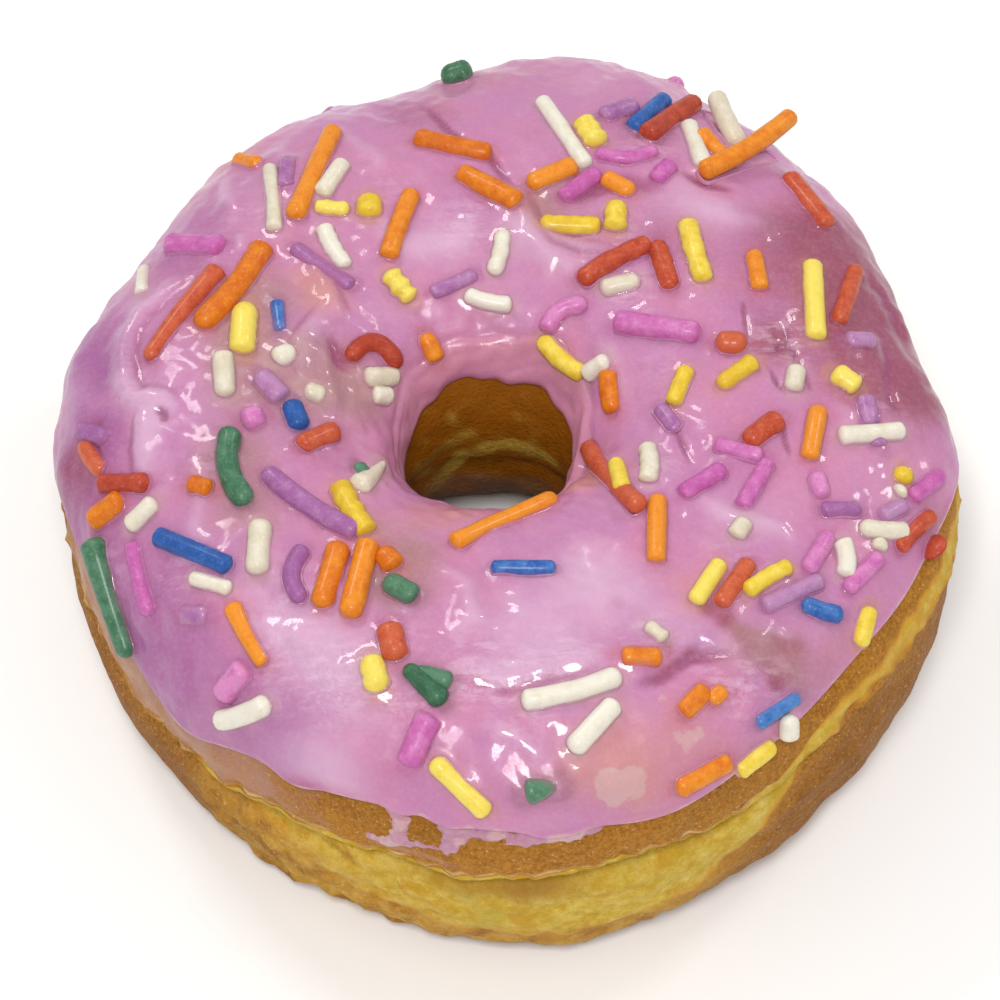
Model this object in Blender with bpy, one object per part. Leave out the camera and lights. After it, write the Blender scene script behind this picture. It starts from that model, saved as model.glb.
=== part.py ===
"""A yeast-raised ring doughnut with a coat of icing, as two solids: the fried dough and the icing on top of it.

The dough is one section carried round a ring. Each point of the section is named by its lean, the angle in degrees
from the section's middle: 90 is the crest, 0 the outer lip at mid height, -90 the base and -180 the wall of the
hole. Directions round the ring are in degrees from +X, seen from above. The origin is under the middle of the
outline, on the surface that the doughnut rests on.
"""

import bmesh
import bpy
import numpy as np

MM = 0.001

# The ring: half its width, and the height of the dough without icing
OUTER_RADIUS = 45.1 * MM
DOUGH_HEIGHT = 33.2 * MM
CREST_RADIUS = 25.5 * MM
BASE_RADIUS = 35.0 * MM
BASE_FLATTENING = 0.8 * MM
AXIS_SHIFT = (0.5 * MM, -0.75 * MM)

# Unevenness of the outline and of the crest: waves round the ring, height in metres, direction of a wave's top
OUTLINE_WAVES = ((1, 0.45 * MM, 330.0), (2, 1.7 * MM, 92.0), (3, 1.1 * MM, 70.0), (4, 0.9 * MM, 79.0),
                 (5, 0.5 * MM, 58.0), (7, 0.45 * MM, 27.0), (8, 0.4 * MM, 37.0), (9, 0.2 * MM, 1.0))
CREST_WAVES = ((1, 0.4 * MM, 100.0), (3, 0.3 * MM, 40.0))

# The hole is oval and off centre
HOLE_RADIUS = 7.7 * MM
HOLE_OVAL = 1.2 * MM
HOLE_SHIFT = (-1.9 * MM, -3.4 * MM)
HOLE_LIP_HEIGHT = 17.5 * MM

# The lip between the upper crust and the pale band climbs towards the front right, with a groove under it
LIP_HEIGHT = 20.0 * MM
LIP_SWING = 3.2 * MM
LIP_HIGHEST = 315.0
GROOVE_DEPTH = 1.4 * MM
HOLE_GROOVE_DEPTH = 0.7 * MM
GROOVE_LEAN = 3.5

# Squareness of the section's four quarters: 2 is an ellipse, more is squarer
TOP_OUTER, BASE_OUTER, BASE_INNER, TOP_INNER = 2.2, 3.1, 2.7, 2.7

# Icing: where its edge lies, in degrees of lean from the outer lip or from the wall of the hole, at equal steps
# round the ring from +X
ICING_GAP = 0.3 * MM
ICING_THICKNESS = 1.5 * MM
ICING_EDGE_THICKNESS = 0.5 * MM
OUTER_EDGE = (16, 11, 9, 10, 12, 8, 10, 13, 9, 7, 10, 13, 13, 20, 19, 16, 22, 31, 28, 25, 24, 31, 32, 26)
HOLE_EDGE = (22, 24, 31, 31, 30, 22, 15, 17, 20, 22, 19, 20)
EDGE_RIPPLES = ((11, 1.2, 10.0), (17, 0.9, 3.0))

# Fineness of the solids
DIRECTIONS = 80
DOUGH_LEANS = (90, 77, 64, 52, 40, 29, 19, 10, 4, 0, -3.5, -8, -15, -26, -40, -56, -72, -90, -112, -130, -145,
               -158, -169, -176, -180, -183.5, -191, -202, -214, -228, -242, -256)
ICING_STEPS = 13

CRUST_BROWN = (0.45, 0.21, 0.05)
ICING_PINK = (0.60, 0.29, 0.50)


def clear_scene():
    for obj in list(bpy.data.objects):
        bpy.data.objects.remove(obj)


def waves(direction, terms):
    """The sum of height * cos(count * (direction - top)) over the terms."""
    return sum(size * np.cos(count * np.radians(direction - top)) for count, size, top in terms)


def between(direction, stops):
    """A smooth closed curve (Catmull-Rom) through stops that lie at equal steps round the ring."""
    values = np.asarray(stops, float)
    place = np.asarray(direction, float) / 360.0 * len(values)
    first = np.floor(place).astype(int)
    part = place - first
    before, start, end, after = (values[(first + k) % len(values)] for k in (-1, 0, 1, 2))
    slope, next_slope = (end - before) / 2, (after - start) / 2
    step = part * part * (3 - 2 * part)
    return (start + (end - start) * step + slope * part * (1 - part) ** 2
            - next_slope * part * part * (1 - part))


def groove(below, depth):
    """How far the groove goes in, a given lean below a lip: none at the lip, deepest at GROOVE_LEAN, then fading."""
    ratio = np.maximum(below, 0) / GROOVE_LEAN
    return depth * ratio * np.exp(1 - ratio)


def dough_point(direction, lean):
    """Points of the dough's surface, for arrays of directions and leans in degrees."""
    direction, lean = np.broadcast_arrays(direction, lean)
    angle, turn = np.radians(direction), np.radians(lean)
    across, up = np.cos(turn), np.sin(turn)
    outer, top = across > 0, up > 0
    square = np.where(outer, np.where(top, TOP_OUTER, BASE_OUTER), np.where(top, TOP_INNER, BASE_INNER))
    reach = (np.abs(across) ** square + np.abs(up) ** square) ** (-1 / square)
    across, up = across * reach, up * reach

    lip = LIP_HEIGHT + LIP_SWING * np.cos(2 * np.radians(direction - LIP_HIGHEST))
    middle = HOLE_LIP_HEIGHT + (lip - HOLE_LIP_HEIGHT) * (across + 1) / 2
    crest = DOUGH_HEIGHT + BASE_FLATTENING + waves(direction, CREST_WAVES)
    height = np.where(top, middle + (crest - middle) * up, middle + middle * up)

    centre = CREST_RADIUS + (BASE_RADIUS - CREST_RADIUS) * (1 - up) / 2
    width = np.where(outer, OUTER_RADIUS - centre, centre - HOLE_RADIUS)
    radius = centre + width * across
    radius -= groove(-lean, GROOVE_DEPTH)
    radius += groove(lean + 180, HOLE_GROOVE_DEPTH)

    outwards = (radius - HOLE_RADIUS) / (OUTER_RADIUS - HOLE_RADIUS)
    inwards = np.clip(1 - outwards, 0, None)
    radius += np.clip(outwards, 0, None) ** 1.5 * waves(direction, OUTLINE_WAVES)
    radius += inwards ** 1.5 * HOLE_OVAL * np.cos(2 * angle)
    x = radius * np.cos(angle) + HOLE_SHIFT[0] * inwards + AXIS_SHIFT[0]
    y = radius * np.sin(angle) + HOLE_SHIFT[1] * inwards + AXIS_SHIFT[1]
    z = np.clip(height - BASE_FLATTENING, 0, None)
    return np.stack([x, y, z], axis=-1)


def dough_normal(direction, lean, step=0.5):
    """Outward unit normals of the dough's surface, from neighbouring points."""
    along = dough_point(direction + step, lean) - dough_point(direction - step, lean)
    down = dough_point(direction, lean - step) - dough_point(direction, lean + step)
    normal = np.cross(down, along)
    return normal / np.linalg.norm(normal, axis=-1, keepdims=True)


def closed_ring(name, points, surface):
    """An object from points[direction, place round the section]: every section joined to the next, all the way."""
    mesh = bpy.data.meshes.new(name)
    shell = bmesh.new()
    rings = [[shell.verts.new(point) for point in section] for section in points]
    for ring, following in zip(rings, rings[1:] + rings[:1]):
        for k in range(len(ring)):
            after = (k + 1) % len(ring)
            shell.faces.new((ring[k], ring[after], following[after], following[k]))
    shell.to_mesh(mesh)
    shell.free()
    mesh.shade_smooth()
    mesh.set_sharp_from_angle(angle=np.radians(50))
    mesh.materials.append(surface)
    obj = bpy.data.objects.new(name, mesh)
    bpy.context.scene.collection.objects.link(obj)
    return obj


def material(name, colour, roughness):
    surface = bpy.data.materials.new(name)
    surface.use_nodes = True
    shader = surface.node_tree.nodes["Principled BSDF"]
    shader.inputs["Base Color"].default_value = (*colour, 1.0)
    shader.inputs["Roughness"].default_value = roughness
    shader.inputs["Metallic"].default_value = 0.0
    return surface


def dough_ring(directions):
    leans = np.array(DOUGH_LEANS, float)
    return closed_ring("dough_ring", dough_point(directions[:, None], leans[None, :]),
                       material("fried_crust", CRUST_BROWN, 0.6))


def icing(directions):
    """A shell over the dough's top, from its edge in the hole to its edge on the outer side, thinner at both."""
    ripple = waves(directions, EDGE_RIPPLES)
    start = -180.0 - (between(directions, HOLE_EDGE) + ripple) + 360.0
    end = between(directions, OUTER_EDGE) + ripple
    part = np.linspace(0, 1, ICING_STEPS)
    leans = start[:, None] + (end - start)[:, None] * part[None, :]
    directions = np.broadcast_to(directions[:, None], leans.shape)
    surface, outwards = dough_point(directions, leans), dough_normal(directions, leans)
    body = 1 - np.abs(2 * part - 1) ** 6
    thickness = ICING_EDGE_THICKNESS + (ICING_THICKNESS - ICING_EDGE_THICKNESS) * body
    under = surface + outwards * ICING_GAP
    over = under + outwards * thickness[None, :, None]
    return closed_ring("icing", np.concatenate([over, under[:, ::-1]], axis=1),
                       material("icing", ICING_PINK, 0.25))


def main():
    clear_scene()
    directions = np.arange(DIRECTIONS) * 360.0 / DIRECTIONS
    dough_ring(directions)
    icing(directions)


main()
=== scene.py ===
"""Looks of a ring doughnut with lilac-pink icing and sugar sprinkles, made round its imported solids.

Lengths are in millimetres until a mesh is made. A place on the dough is a direction round the ring, in
degrees from +X seen from above, and a lean round its section: 90 at the crest, 0 at the outer lip, -90
under it and -180 at the wall of the hole. Places on the icing are x and y seen from above, from the ring's
axis. Seeds are given to ripples and to numpy's generators, so that every run gives the same shapes.
"""

import bpy
import numpy as np
from mathutils import Matrix, Vector


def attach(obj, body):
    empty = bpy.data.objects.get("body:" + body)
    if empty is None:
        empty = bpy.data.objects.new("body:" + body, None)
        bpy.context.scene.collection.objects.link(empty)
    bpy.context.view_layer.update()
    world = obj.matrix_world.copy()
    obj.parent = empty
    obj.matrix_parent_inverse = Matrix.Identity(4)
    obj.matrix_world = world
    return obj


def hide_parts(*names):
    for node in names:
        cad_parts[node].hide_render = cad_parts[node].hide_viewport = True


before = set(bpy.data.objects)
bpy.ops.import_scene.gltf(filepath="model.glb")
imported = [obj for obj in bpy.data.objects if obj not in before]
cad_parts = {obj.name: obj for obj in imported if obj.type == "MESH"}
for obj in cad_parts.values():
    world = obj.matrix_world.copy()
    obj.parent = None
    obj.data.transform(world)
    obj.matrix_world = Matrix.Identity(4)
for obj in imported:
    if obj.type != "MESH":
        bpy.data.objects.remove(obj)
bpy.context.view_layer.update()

MM = 0.001

# ---- the dough's shape, as in the solids -------------------------------------------------------------

OUTER_RADIUS, DOUGH_HEIGHT, CREST_RADIUS, BASE_RADIUS, BASE_FLATTENING = 45.1, 33.2, 25.5, 35.0, 0.8
AXIS_SHIFT = (0.5, -0.75)
# Waves round the ring: how many, their height, and the direction of a top
OUTLINE_WAVES = (
    (1, 0.45, 330.0), (2, 1.7, 92.0), (3, 1.1, 70.0), (4, 0.9, 79.0), (5, 0.5, 58.0), (7, 0.45, 27.0),
    (8, 0.4, 37.0), (9, 0.2, 1.0),
)
CREST_WAVES = ((1, 0.4, 100.0), (3, 0.3, 40.0))
LIP_RAGGED = ((13, 0.20, 4.0), (22, 0.13, 9.0), (35, 0.09, 2.0), (53, 0.08, 3.0), (71, 0.05, 1.0))
HOLE_RADIUS, HOLE_OVAL, HOLE_SHIFT, HOLE_LIP_HEIGHT = 7.7, 1.2, (-1.9, -3.4), 17.5
# Powers of the superellipse in the quarters of the section
TOP_OUTER, BASE_OUTER, BASE_INNER, TOP_INNER = 2.2, 3.1, 2.7, 2.7
# The icing's edges at equal steps round the ring from +X: the lean of the outer one above the lip, and of
# the inner one above the wall of the hole; then the waves along each
OUTER_EDGE = (16, 11, 9, 10, 12, 8, 10, 13, 9, 7, 10, 13, 13, 20, 19, 18, 22, 28.5, 27, 25, 24, 31, 32, 26)
HOLE_EDGE = (21, 26, 32.5, 33.5, 32.5, 24, 15, 17, 20, 22, 19, 20)
EDGE_RIPPLES = ((11, 1.2, 10.0), (17, 0.9, 3.0))
HOLE_RIPPLES = ((5, 0.6, 40.0), (8, 0.6, 12.0), (13, 0.4, 3.0), (21, 0.25, 1.0))

# At equal steps round the ring from +X: the lip's height, the depth of the groove under it, and how far the
# top and the foot of the pale band are above or below the lip
LIP_HEIGHTS = (23.4, 22.6, 21.4, 20.4, 19.8, 19.6, 20, 20.6, 21, 21, 20.6, 20,
               19, 17.4, 15.8, 15.4, 18, 18.9, 20, 21.4, 20.8, 23.2, 23.6, 23.6)
GROOVE_DEPTHS = (0.7, 0.9, 1.1, 1.3, 1.4, 1.4, 1.4, 1.4, 1.4, 1.4, 1.3, 1.2,
                 1.2, 1.3, 1.6, 1.8, 1.9, 2, 2, 2, 1.7, 0.6, 0.4, 0.5)
PALE_TOP = (2.2, 0.4, -0.3, -0.3, -0.3, -0.3, -0.3, -0.3, -0.3, -0.3, -0.3, -0.3,
            -0.3, -0.3, -0.3, -0.3, -0.3, -0.3, -0.3, -0.3, -0.2, 2.4, 2.8, 2.6)
PALE_FOOT = (-0.8, -3, -6, -7.5, -8, -8, -8, -7.5, -7, -6, -4, -2,
             0, 1, 0.8, -0.6, -3.2, -10, -12, -13, -7, 0.9, 0.6, 0)

# ---- sprinkles ---------------------------------------------------------------------------------------
# Each row gives both ends (x, y, x, y), the thickness, the sideways bend and how far it is sunk, from 0 to
# 1, or less than 0 where it lies on others. Where they aren't 0, its lumpiness, its taper and how far the
# second end stands up follow.

SPRINKLES = {
    "orange": (
        (-17.6, 32.5, -21.4, 19.2, 2.1, 0, 0), (-9.6, 30.3, -1.6, 27.9, 2.2, 0.2, 0),
        (-5, 25.6, 1.3, 20.9, 2.3, 0, 0), (-9.6, 22.9, -12.1, 14.2, 2, 0.1, 0),
        (-24, 15.5, -30.2, 5.5, 2.55, -0.6, 0.05), (2, 23.8, 6.9, 25.9, 2.2, 0.1, 0),
        (9.5, 24.9, 12.5, 22.4, 2, 0, 0), (19.1, 32, 22.1, 28.5, 2.2, 0, 0, 0.05, 0.3),
        (19.6, 24.8, 28, 32, 2.15, 0.6, 0, 0, 0.1, 4.6), (24.5, 15.3, 24.7, 10.2, 1.8, 0, 0.1),
        (30.2, -3.5, 28.8, -9.8, 1.9, 0, 0), (14.2, -13.8, 14, -22, 1.9, 0, 0),
        (-15.9, -19.6, -17.8, -26.7, 2.3, 0, 0), (-13.3, -19.5, -15, -27.8, 2.3, 0, -0.1),
        (-12.2, -20.3, -10.7, -22.6, 2.4, 0, 0.1), (-26.1, -25.2, -22.9, -31.2, 1.9, 0.2, 0, 0, 0.25),
        (-30.7, -12.3, -28.4, -13.4, 1.9, 0, 0.1, 0.05), (-40.4, -12.6, -37, -12.2, 2.5, 0, 0.1),
        (-8.6, 7.4, -7.1, 5.4, 2, 0, 0.15), (9.8, 2.4, 10.3, -1.5, 2, 0.2, 0.05),
        (10.2, -32.2, 14.5, -31.8, 2.1, 0, 0.33), (15.8, -37.1, 18.6, -34.5, 2, 0, 0.2),
        (18.4, -35.6, 20.2, -34.1, 1.8, 0, 0.25), (15.2, -43, 20.5, -39.6, 2, 0, 0.1),
        (-5.3, -19.5, 4.5, -11.8, 1.9, 0, 0), (-27.7, 31.3, -25.3, 28.6, 1.8, 0, 0.2)),
    "red_orange": (
        (-28.7, 13.3, -35.4, 2.5, 2.35, 0.3, 0.05, 0, 0.3), (-15.9, 4.2, -10.7, 4.8, 1.9, -2.3, 0.05),
        (-20.4, -8.4, -16.6, -5.3, 2.2, 0, 0.1), (-41.6, -4.3, -39.3, -8.8, 1.9, 0.3, 0.15),
        (-39.7, -9.6, -34.3, -11.7, 2, 0, 0.05), (-11.2, -28.7, -10.5, -32.4, 2.6, 0, 0.15),
        (7.7, -3.5, 12.2, -16, 2.1, 0.5, 0.1), (19.4, 38.2, 14, 30.2, 2.3, 0, 0),
        (28.2, 27.7, 32.2, 20.3, 2.3, 0, 0.15), (14, 16, 6.9, 11.8, 2.1, 0.4, 0.05, 0.05),
        (14.7, 16.1, 16.1, 10.3, 2.1, 0, 0.15, 0.04), (20.2, 4.1, 23.4, 3.8, 2.4, 0, 0.1),
        (34.8, 15.7, 32.5, 7.3, 1.9, 0, 0), (22.8, -7.9, 26.3, -4.9, 2.3, 0, 0.1),
        (22.9, -21.3, 19.6, -26.6, 1.9, 0, 0.1), (40.8, -13.1, 37.3, -17.8, 1.7, 0.3, 0.15),
        (39.9, -16.2, 42.6, -17.4, 2.9, 0, -0.2)),
    "yellow": (
        (-19.4, 20.7, -15.9, 20.5, 1.7, 0, 0.05, 0.08), (-14, 22.3, -14, 19.4, 2.6, 0, 0.1),
        (-12.1, 12.8, -9.5, 10.1, 2, 0.1, 0, 0.14), (-25.8, 8.2, -26.1, 2.4, 2.6, 0, 0.1, 0.03),
        (3.1, 6.9, 7.4, 3.2, 1.9, 0.5, 0), (3, 18.5, 9.2, 18.1, 2.1, 0, 0.05, 0.05),
        (10.8, 21.2, 10.8, 17.5, 2.3, 0, 0.05, 0.05), (17.7, 18.8, 19.3, 10.9, 2.1, 0.1, 0, 0.08),
        (7.6, 32.5, 9.3, 28.8, 2.5, 0, 0.05, 0.08), (30.1, 14.7, 30.2, 4.8, 2.1, 0, 0),
        (17.6, 1.2, 16.1, -2.8, 1.8, 0, 0.05), (20.5, -1.3, 24.1, 1.9, 1.9, 0, 0, 0.05),
        (31.6, 1, 34.1, -0.7, 2.4, 0, 0.05), (-16.4, -12.5, -13.4, -18.4, 2.3, 0.3, 0, 0.12),
        (-12.9, -31.8, -12.1, -35.5, 2.4, 0, 0.1, 0.05), (-7.3, -41.4, -1.7, -45.6, 1.9, 0, 0),
        (19.9, -21.6, 17.4, -26.3, 1.8, 0, 0), (26.7, -21.6, 22.2, -24.8, 1.7, 0.2, 0, 0.06),
        (38.2, -9, 37.7, -10.8, 2.1, 0, 0.05), (10.5, -8.8, 11.2, -13.2, 1.7, 0, -0.5),
        (34.3, -24, 33, -28, 1.9, 0, 0.15), (24.8, -37.4, 21.4, -40, 1.9, 0, 0.15)),
    "cream": (
        (-24.4, 27.7, -23.1, 17.8, 1.6, -0.2, 0.15), (-16.4, 26.9, -18.8, 22.2, 1.9, 0, 0.05),
        (-18.6, 18.1, -16.1, 12.9, 1.8, 0.3, 0.1, 0.08), (-0.3, 17.9, -1.4, 12.9, 1.7, -0.3, 0, 0.07),
        (-4.4, 11, 0.3, 9.9, 1.7, 0.3, 0.1), (3.4, 35.8, 7.9, 26, 1.8, 0, 0),
        (23.3, 31, 20.6, 38.2, 2.1, -0.2, 0, 0, 0, 1.8), (18.3, 33.6, 19.6, 26.6, 1.9, 0.1, 0.1),
        (9.1, 11, 13.1, 11.7, 2, 0, 0.25), (-27.9, 2.3, -27.5, -2.6, 2.1, 0, 0.05),
        (-23, 1.7, -20.7, 2.8, 2.6, 0, 0.25, 0, 0.2), (-20, -1.3, -17.9, -2, 2.2, 0, 0.35),
        (-14.2, 1.5, -11, 3, 2, 0, 0.15), (-13.4, 0.1, -11.6, 0.9, 1.9, 0, 0.15),
        (28.2, 1.5, 27.6, -1.7, 1.9, 0, 0.05), (32, -6.8, 38.3, -4.9, 1.9, 0.1, 0),
        (13.5, -7.1, 13.7, -12.1, 1.9, -0.3, 0, 0.06), (-23.7, -17, -23.7, -22.6, 2.3, 0, 0),
        (-30.2, -21.9, -26.3, -23.7, 1.5, 0, 0.1), (-36.5, -15, -33.8, -13.5, 2, 0, 0.05),
        (-27.6, -33.8, -22.2, -34.9, 2.1, 0.3, 0), (1.4, -36.9, 10.4, -34.4, 2.1, 0.4, 0.1),
        (9.9, -36.5, 5.8, -41.2, 2.1, 0, 0.05), (12.7, -28.7, 14.8, -30.2, 1.4, 0, 0.2, 0.05),
        (22.7, -16.8, 21.4, -18.8, 1.8, 0, 0.1), (31.8, -18.3, 31.9, -22.1, 1.9, -0.4, 0.05),
        (33.3, -16.8, 38.3, -16, 1.8, 0.2, 0), (35.4, -17.2, 35.2, -18.8, 1.6, 0, 0.1),
        (-36.5, 17.2, -36.6, 12.5, 1.6, 0, 0.3), (-14.7, -12.7, -12.1, -7.1, 2.7, 0.2, 0.05, 0, 0.8),
        (38, -11.3, 37.3, -12.1, 1.7, 0, 0.1), (7.7, 3.1, 9.8, 3.3, 1.9, 0, 0.05),
        (25.8, -34.6, 26.9, -37.8, 1.9, 0, -0.4)),
    "pink": (
        (-34.4, 19.1, -28.3, 16, 2.6, 0.1, 0.2, 0.04), (-25.8, -5.8, -23.6, -4.7, 2.5, 0, 0.1),
        (-36.2, -16.5, -34.3, -23.5, 1.8, 0.1, 0.1), (-27.1, -32.7, -24.7, -30.9, 2.5, 0, 0.15),
        (-9.4, -41.5, -7.2, -37.6, 2.5, 0, 0), (10.4, 7, 18.8, 5, 2.4, 0.1, 0.05),
        (5.4, 21.8, 9.2, 25.5, 1.9, 0, 0), (9, 27.4, 15.1, 27.8, 1.6, 1.2, 0.05),
        (14.7, 24.4, 16.6, 26.9, 1.9, 0, 0.1, 0.06), (3.4, 7.9, 7.5, 10, 1.9, -1.1, 0),
        (16.4, -13.9, 20.9, -10.8, 1.9, 0, 0.05), (19.9, -8, 24.4, -9.6, 1.8, 0.2, 0.15),
        (25, -10, 22.1, -15.4, 1.7, 0, 0.05), (29.6, -11.1, 29.9, -13.7, 1.8, 0, 0.15),
        (30.6, -17.5, 28.2, -22.3, 1.7, 0, 0.05), (31.9, -23.2, 35.4, -19.3, 1.7, 0, 0.05),
        (38.7, -12.5, 42, -8.3, 1.8, 0, 0.1)),
    "purple": (
        (-21.5, 15.6, -15.4, 10.6, 1.9, 0.2, 0.36), (-7.7, 10.9, -3.1, 13.3, 1.7, 0, 0.28),
        (-24.4, -0.2, -21.8, -3, 2.2, 0, 0.15), (-42, -3, -38.9, -5, 1.9, 0, 0.15),
        (-22.2, 28.5, -22.3, 23.6, 2, 0, 0.33), (-23.6, -11.3, -14.4, -18.6, 2.1, 0.5, 0),
        (-20, -20.2, -20.1, -25.8, 1.9, 1.3, 0.2), (-31.3, -24.8, -28.1, -25.5, 2.2, 0, 0.4),
        (9.4, 33.1, 13.1, 35.5, 2.2, 0, 0.15), (14.7, -2.5, 16.3, -6, 1.9, 0, 0.25),
        (33, 5.1, 36.2, 6, 2.1, 0, 0.25), (34.7, -1.4, 35.2, -4.9, 2, 0, 0.15),
        (29.6, -15, 33.8, -14.8, 1.8, 0, 0.25), (35.6, -15.1, 38.2, -13, 1.7, 0, 0.2),
        (23.8, -26, 29.7, -22.8, 1.7, 0, 0.15), (35.5, -6, 35.9, -7.4, 1.9, 0, 0.3)),
    "blue": (
        (-33.6, -16.8, -26.4, -21.8, 2, 0, 0), (-22.7, 8.9, -22.4, 5, 1.5, 0, 0.3),
        (-21.3, -3, -20, -6.2, 2.2, 0, 0.05), (16.3, 37.6, 12.5, 31.4, 1.9, 0, 0),
        (-1.7, -22.5, 4.5, -22.3, 1.6, 0, 0), (27.5, -25.5, 31.3, -26, 1.8, 0.3, 0),
        (27.2, -33.5, 23, -36.8, 1.5, 0, 0.15)),
    "green": (
        (-27.4, -6.9, -25.5, -15.2, 2.3, 1.2, 0.05), (-39.9, -14.2, -36.1, -24.5, 2.9, 0.2, -0.2, 0, 0.35),
        (-6.9, 42, -3.6, 42.3, 2.7, 0, -0.15), (-11.8, -23.8, -8.6, -25.7, 2.3, 0, 0.1),
        (-6, -36.5, -9.6, -33.2, 2.5, 0, 0.05, 0, 0.4), (-5.2, -34.9, -9, -33.3, 2.3, 0, 0.1, 0, 0.5),
        (1.3, -44.5, 4.8, -43.7, 2.9, 0, 0.3, 0, 0.5), (-14.8, -8.9, -13.5, -10.8, 1.9, 0, 0.2)),
}

# ---- icing: where its form and colour change ---------------------------------------------------------
# Folds and creases: height, width left and right of the line, and the points that it passes through
FOLDS = (
    (0.90, 0.7, 1.2, ((-30.5, 14.2), (-33.5, 12.1), (-36.1, 9.4), (-37.5, 6.7), (-37.7, 3.6), (-37.3, 0.4),
                      (-36.3, -1.6), (-35, -1.5), (-33.7, -2.1), (-32.6, -3.3), (-32.5, -4.3))),
    (0.60, 2.0, 0.5, ((-35.2, -2.2), (-35.7, -4.7), (-35.8, -7.2), (-35.4, -9.7), (-34.2, -12))),
    (-0.45, 0.55, 0.55, ((-34.3, -3.2), (-33.5, -4), (-33.3, -5.2))),
    (-0.35, 0.9, 0.9, ((-40, -1.5), (-40.4, -5.5), (-39.8, -8.5))),
    (0.45, 1.8, 0.5, ((-17.2, 9.4), (-19.2, 6.4), (-20.7, 3.7), (-20.3, 1.2), (-19.2, -1))),
    (0.50, 1.6, 1.2, ((-42.3, 12), (-42.8, 6), (-42, 0), (-42.3, -6))),
    (0.50, 0.8, 0.8, ((-28.5, 28.3), (-28.6, 24.4), (-27.4, 21.6))),
    (0.40, 0.7, 0.9, ((-26.7, 18.2), (-26.5, 15))),
    (-0.40, 0.5, 0.9, ((-9.5, 38), (-8.1, 35.8), (-5.7, 31.3), (-1.5, 27.4), (-0.1, 24.8), (1.6, 22.4))),
    (0.75, 0.55, 2.8, ((-0.6, 25.2), (1.2, 22.6), (2.1, 20.4), (2.3, 19.2), (3.2, 17.8), (5.4, 16.7),
                       (8.5, 15.6), (11, 15.2))),
    (0.50, 0.8, 1.7, ((0.4, 18.6), (3.6, 15.1), (6.8, 13.7), (11, 13))),
    (-0.35, 1.4, 1.4, ((3.5, 21.5), (8, 23), (12, 24.5), (17, 23))),
    (-0.35, 0.5, 0.8, ((17, 26.6), (19.9, 24.3), (23.4, 23.6))),
    (-0.40, 0.5, 0.9, ((35.7, 15), (37.5, 14), (39.8, 7.8))),
    (-0.30, 0.4, 0.4, ((23, 9.4), (23.4, 4))),
    (-0.40, 0.45, 0.45, ((26.9, 7), (28, 2.9), (30, -2.6))),
    (-0.30, 0.4, 0.4, ((25.3, 1.6), (26, -0.4), (27.3, -2.4))),
    (-0.30, 0.4, 0.4, ((23.4, 3.2), (26, 3), (28.4, 4.9))),
    (-0.34, 0.45, 0.45, ((15.4, -3.5), (16.4, -6.4), (17.6, -10.4))),
    (-0.28, 0.4, 0.4, ((26.3, -5.4), (27.1, -9.7))),
    (-0.25, 0.5, 0.5, ((36.2, 9), (37.4, 5), (37, 0), (38.6, -4))),
    (0.35, 1.0, 1.0, ((31, -2), (33, -4), (32.4, -8))),
    (0.40, 1.2, 1.2, ((-31, -9), (-29, -12), (-30, -17), (-27.5, -19.5))),
    (0.45, 1.1, 1.1, ((-25, -27), (-20, -29), (-16, -33), (-10, -31))),
    (0.55, 2.0, 0.7, ((-25.6, -34.6), (-23, -37.2), (-19.3, -39.2), (-15.4, -41.2), (-11.5, -43.4))),
    (0.50, 1.3, 0.8, ((-4.5, -33), (0, -34.4), (4.7, -33), (9.4, -31.8))),
    (0.36, 1.1, 1.1, ((-3, -38), (1, -40.2), (5, -42.6))),
    (-0.28, 0.9, 0.9, ((11, -35), (14, -34), (17, -31.6), (22, -31))),
    (0.40, 1.2, 1.2, ((16, -29), (20, -30), (25, -28.6), (29, -30))),
    (0.36, 1.0, 1.0, ((-8, -21), (-4, -24), (-3.4, -28), (-6, -30.6))),
    (0.36, 1.0, 1.0, ((18, -14), (21, -16), (26, -17.6), (27.6, -20))),
    (0.40, 1.4, 1.4, ((-14, 20), (-10, 16), (-5, 17), (-2.4, 21.6))),
    (0.32, 1.3, 1.3, ((19, 22), (23, 19), (28, 19), (31, 17))),
    (0.36, 1.2, 1.2, ((-20, 36), (-16, 31), (-13, 27), (-14, 24.6))),
    (0.45, 0.6, 1.3, ((-19.7, 13.5), (-17.6, 9.8), (-16.2, 6.6))),
    (-0.40, 1.0, 1.0, ((-17.5, 5.4), (-16.1, 1.1))),
    (0.40, 0.9, 0.9, ((-21.9, 7), (-20.3, 3.7), (-18.1, 2.8), (-17.6, -1), (-16, -3.4))),
    (0.40, 1.4, 1.4, ((9, 6.5), (10.3, 2.8), (11.8, -1.4))),
    (0.40, 0.9, 0.9, ((6.2, -8.2), (7, -11.8))),
)

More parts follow.
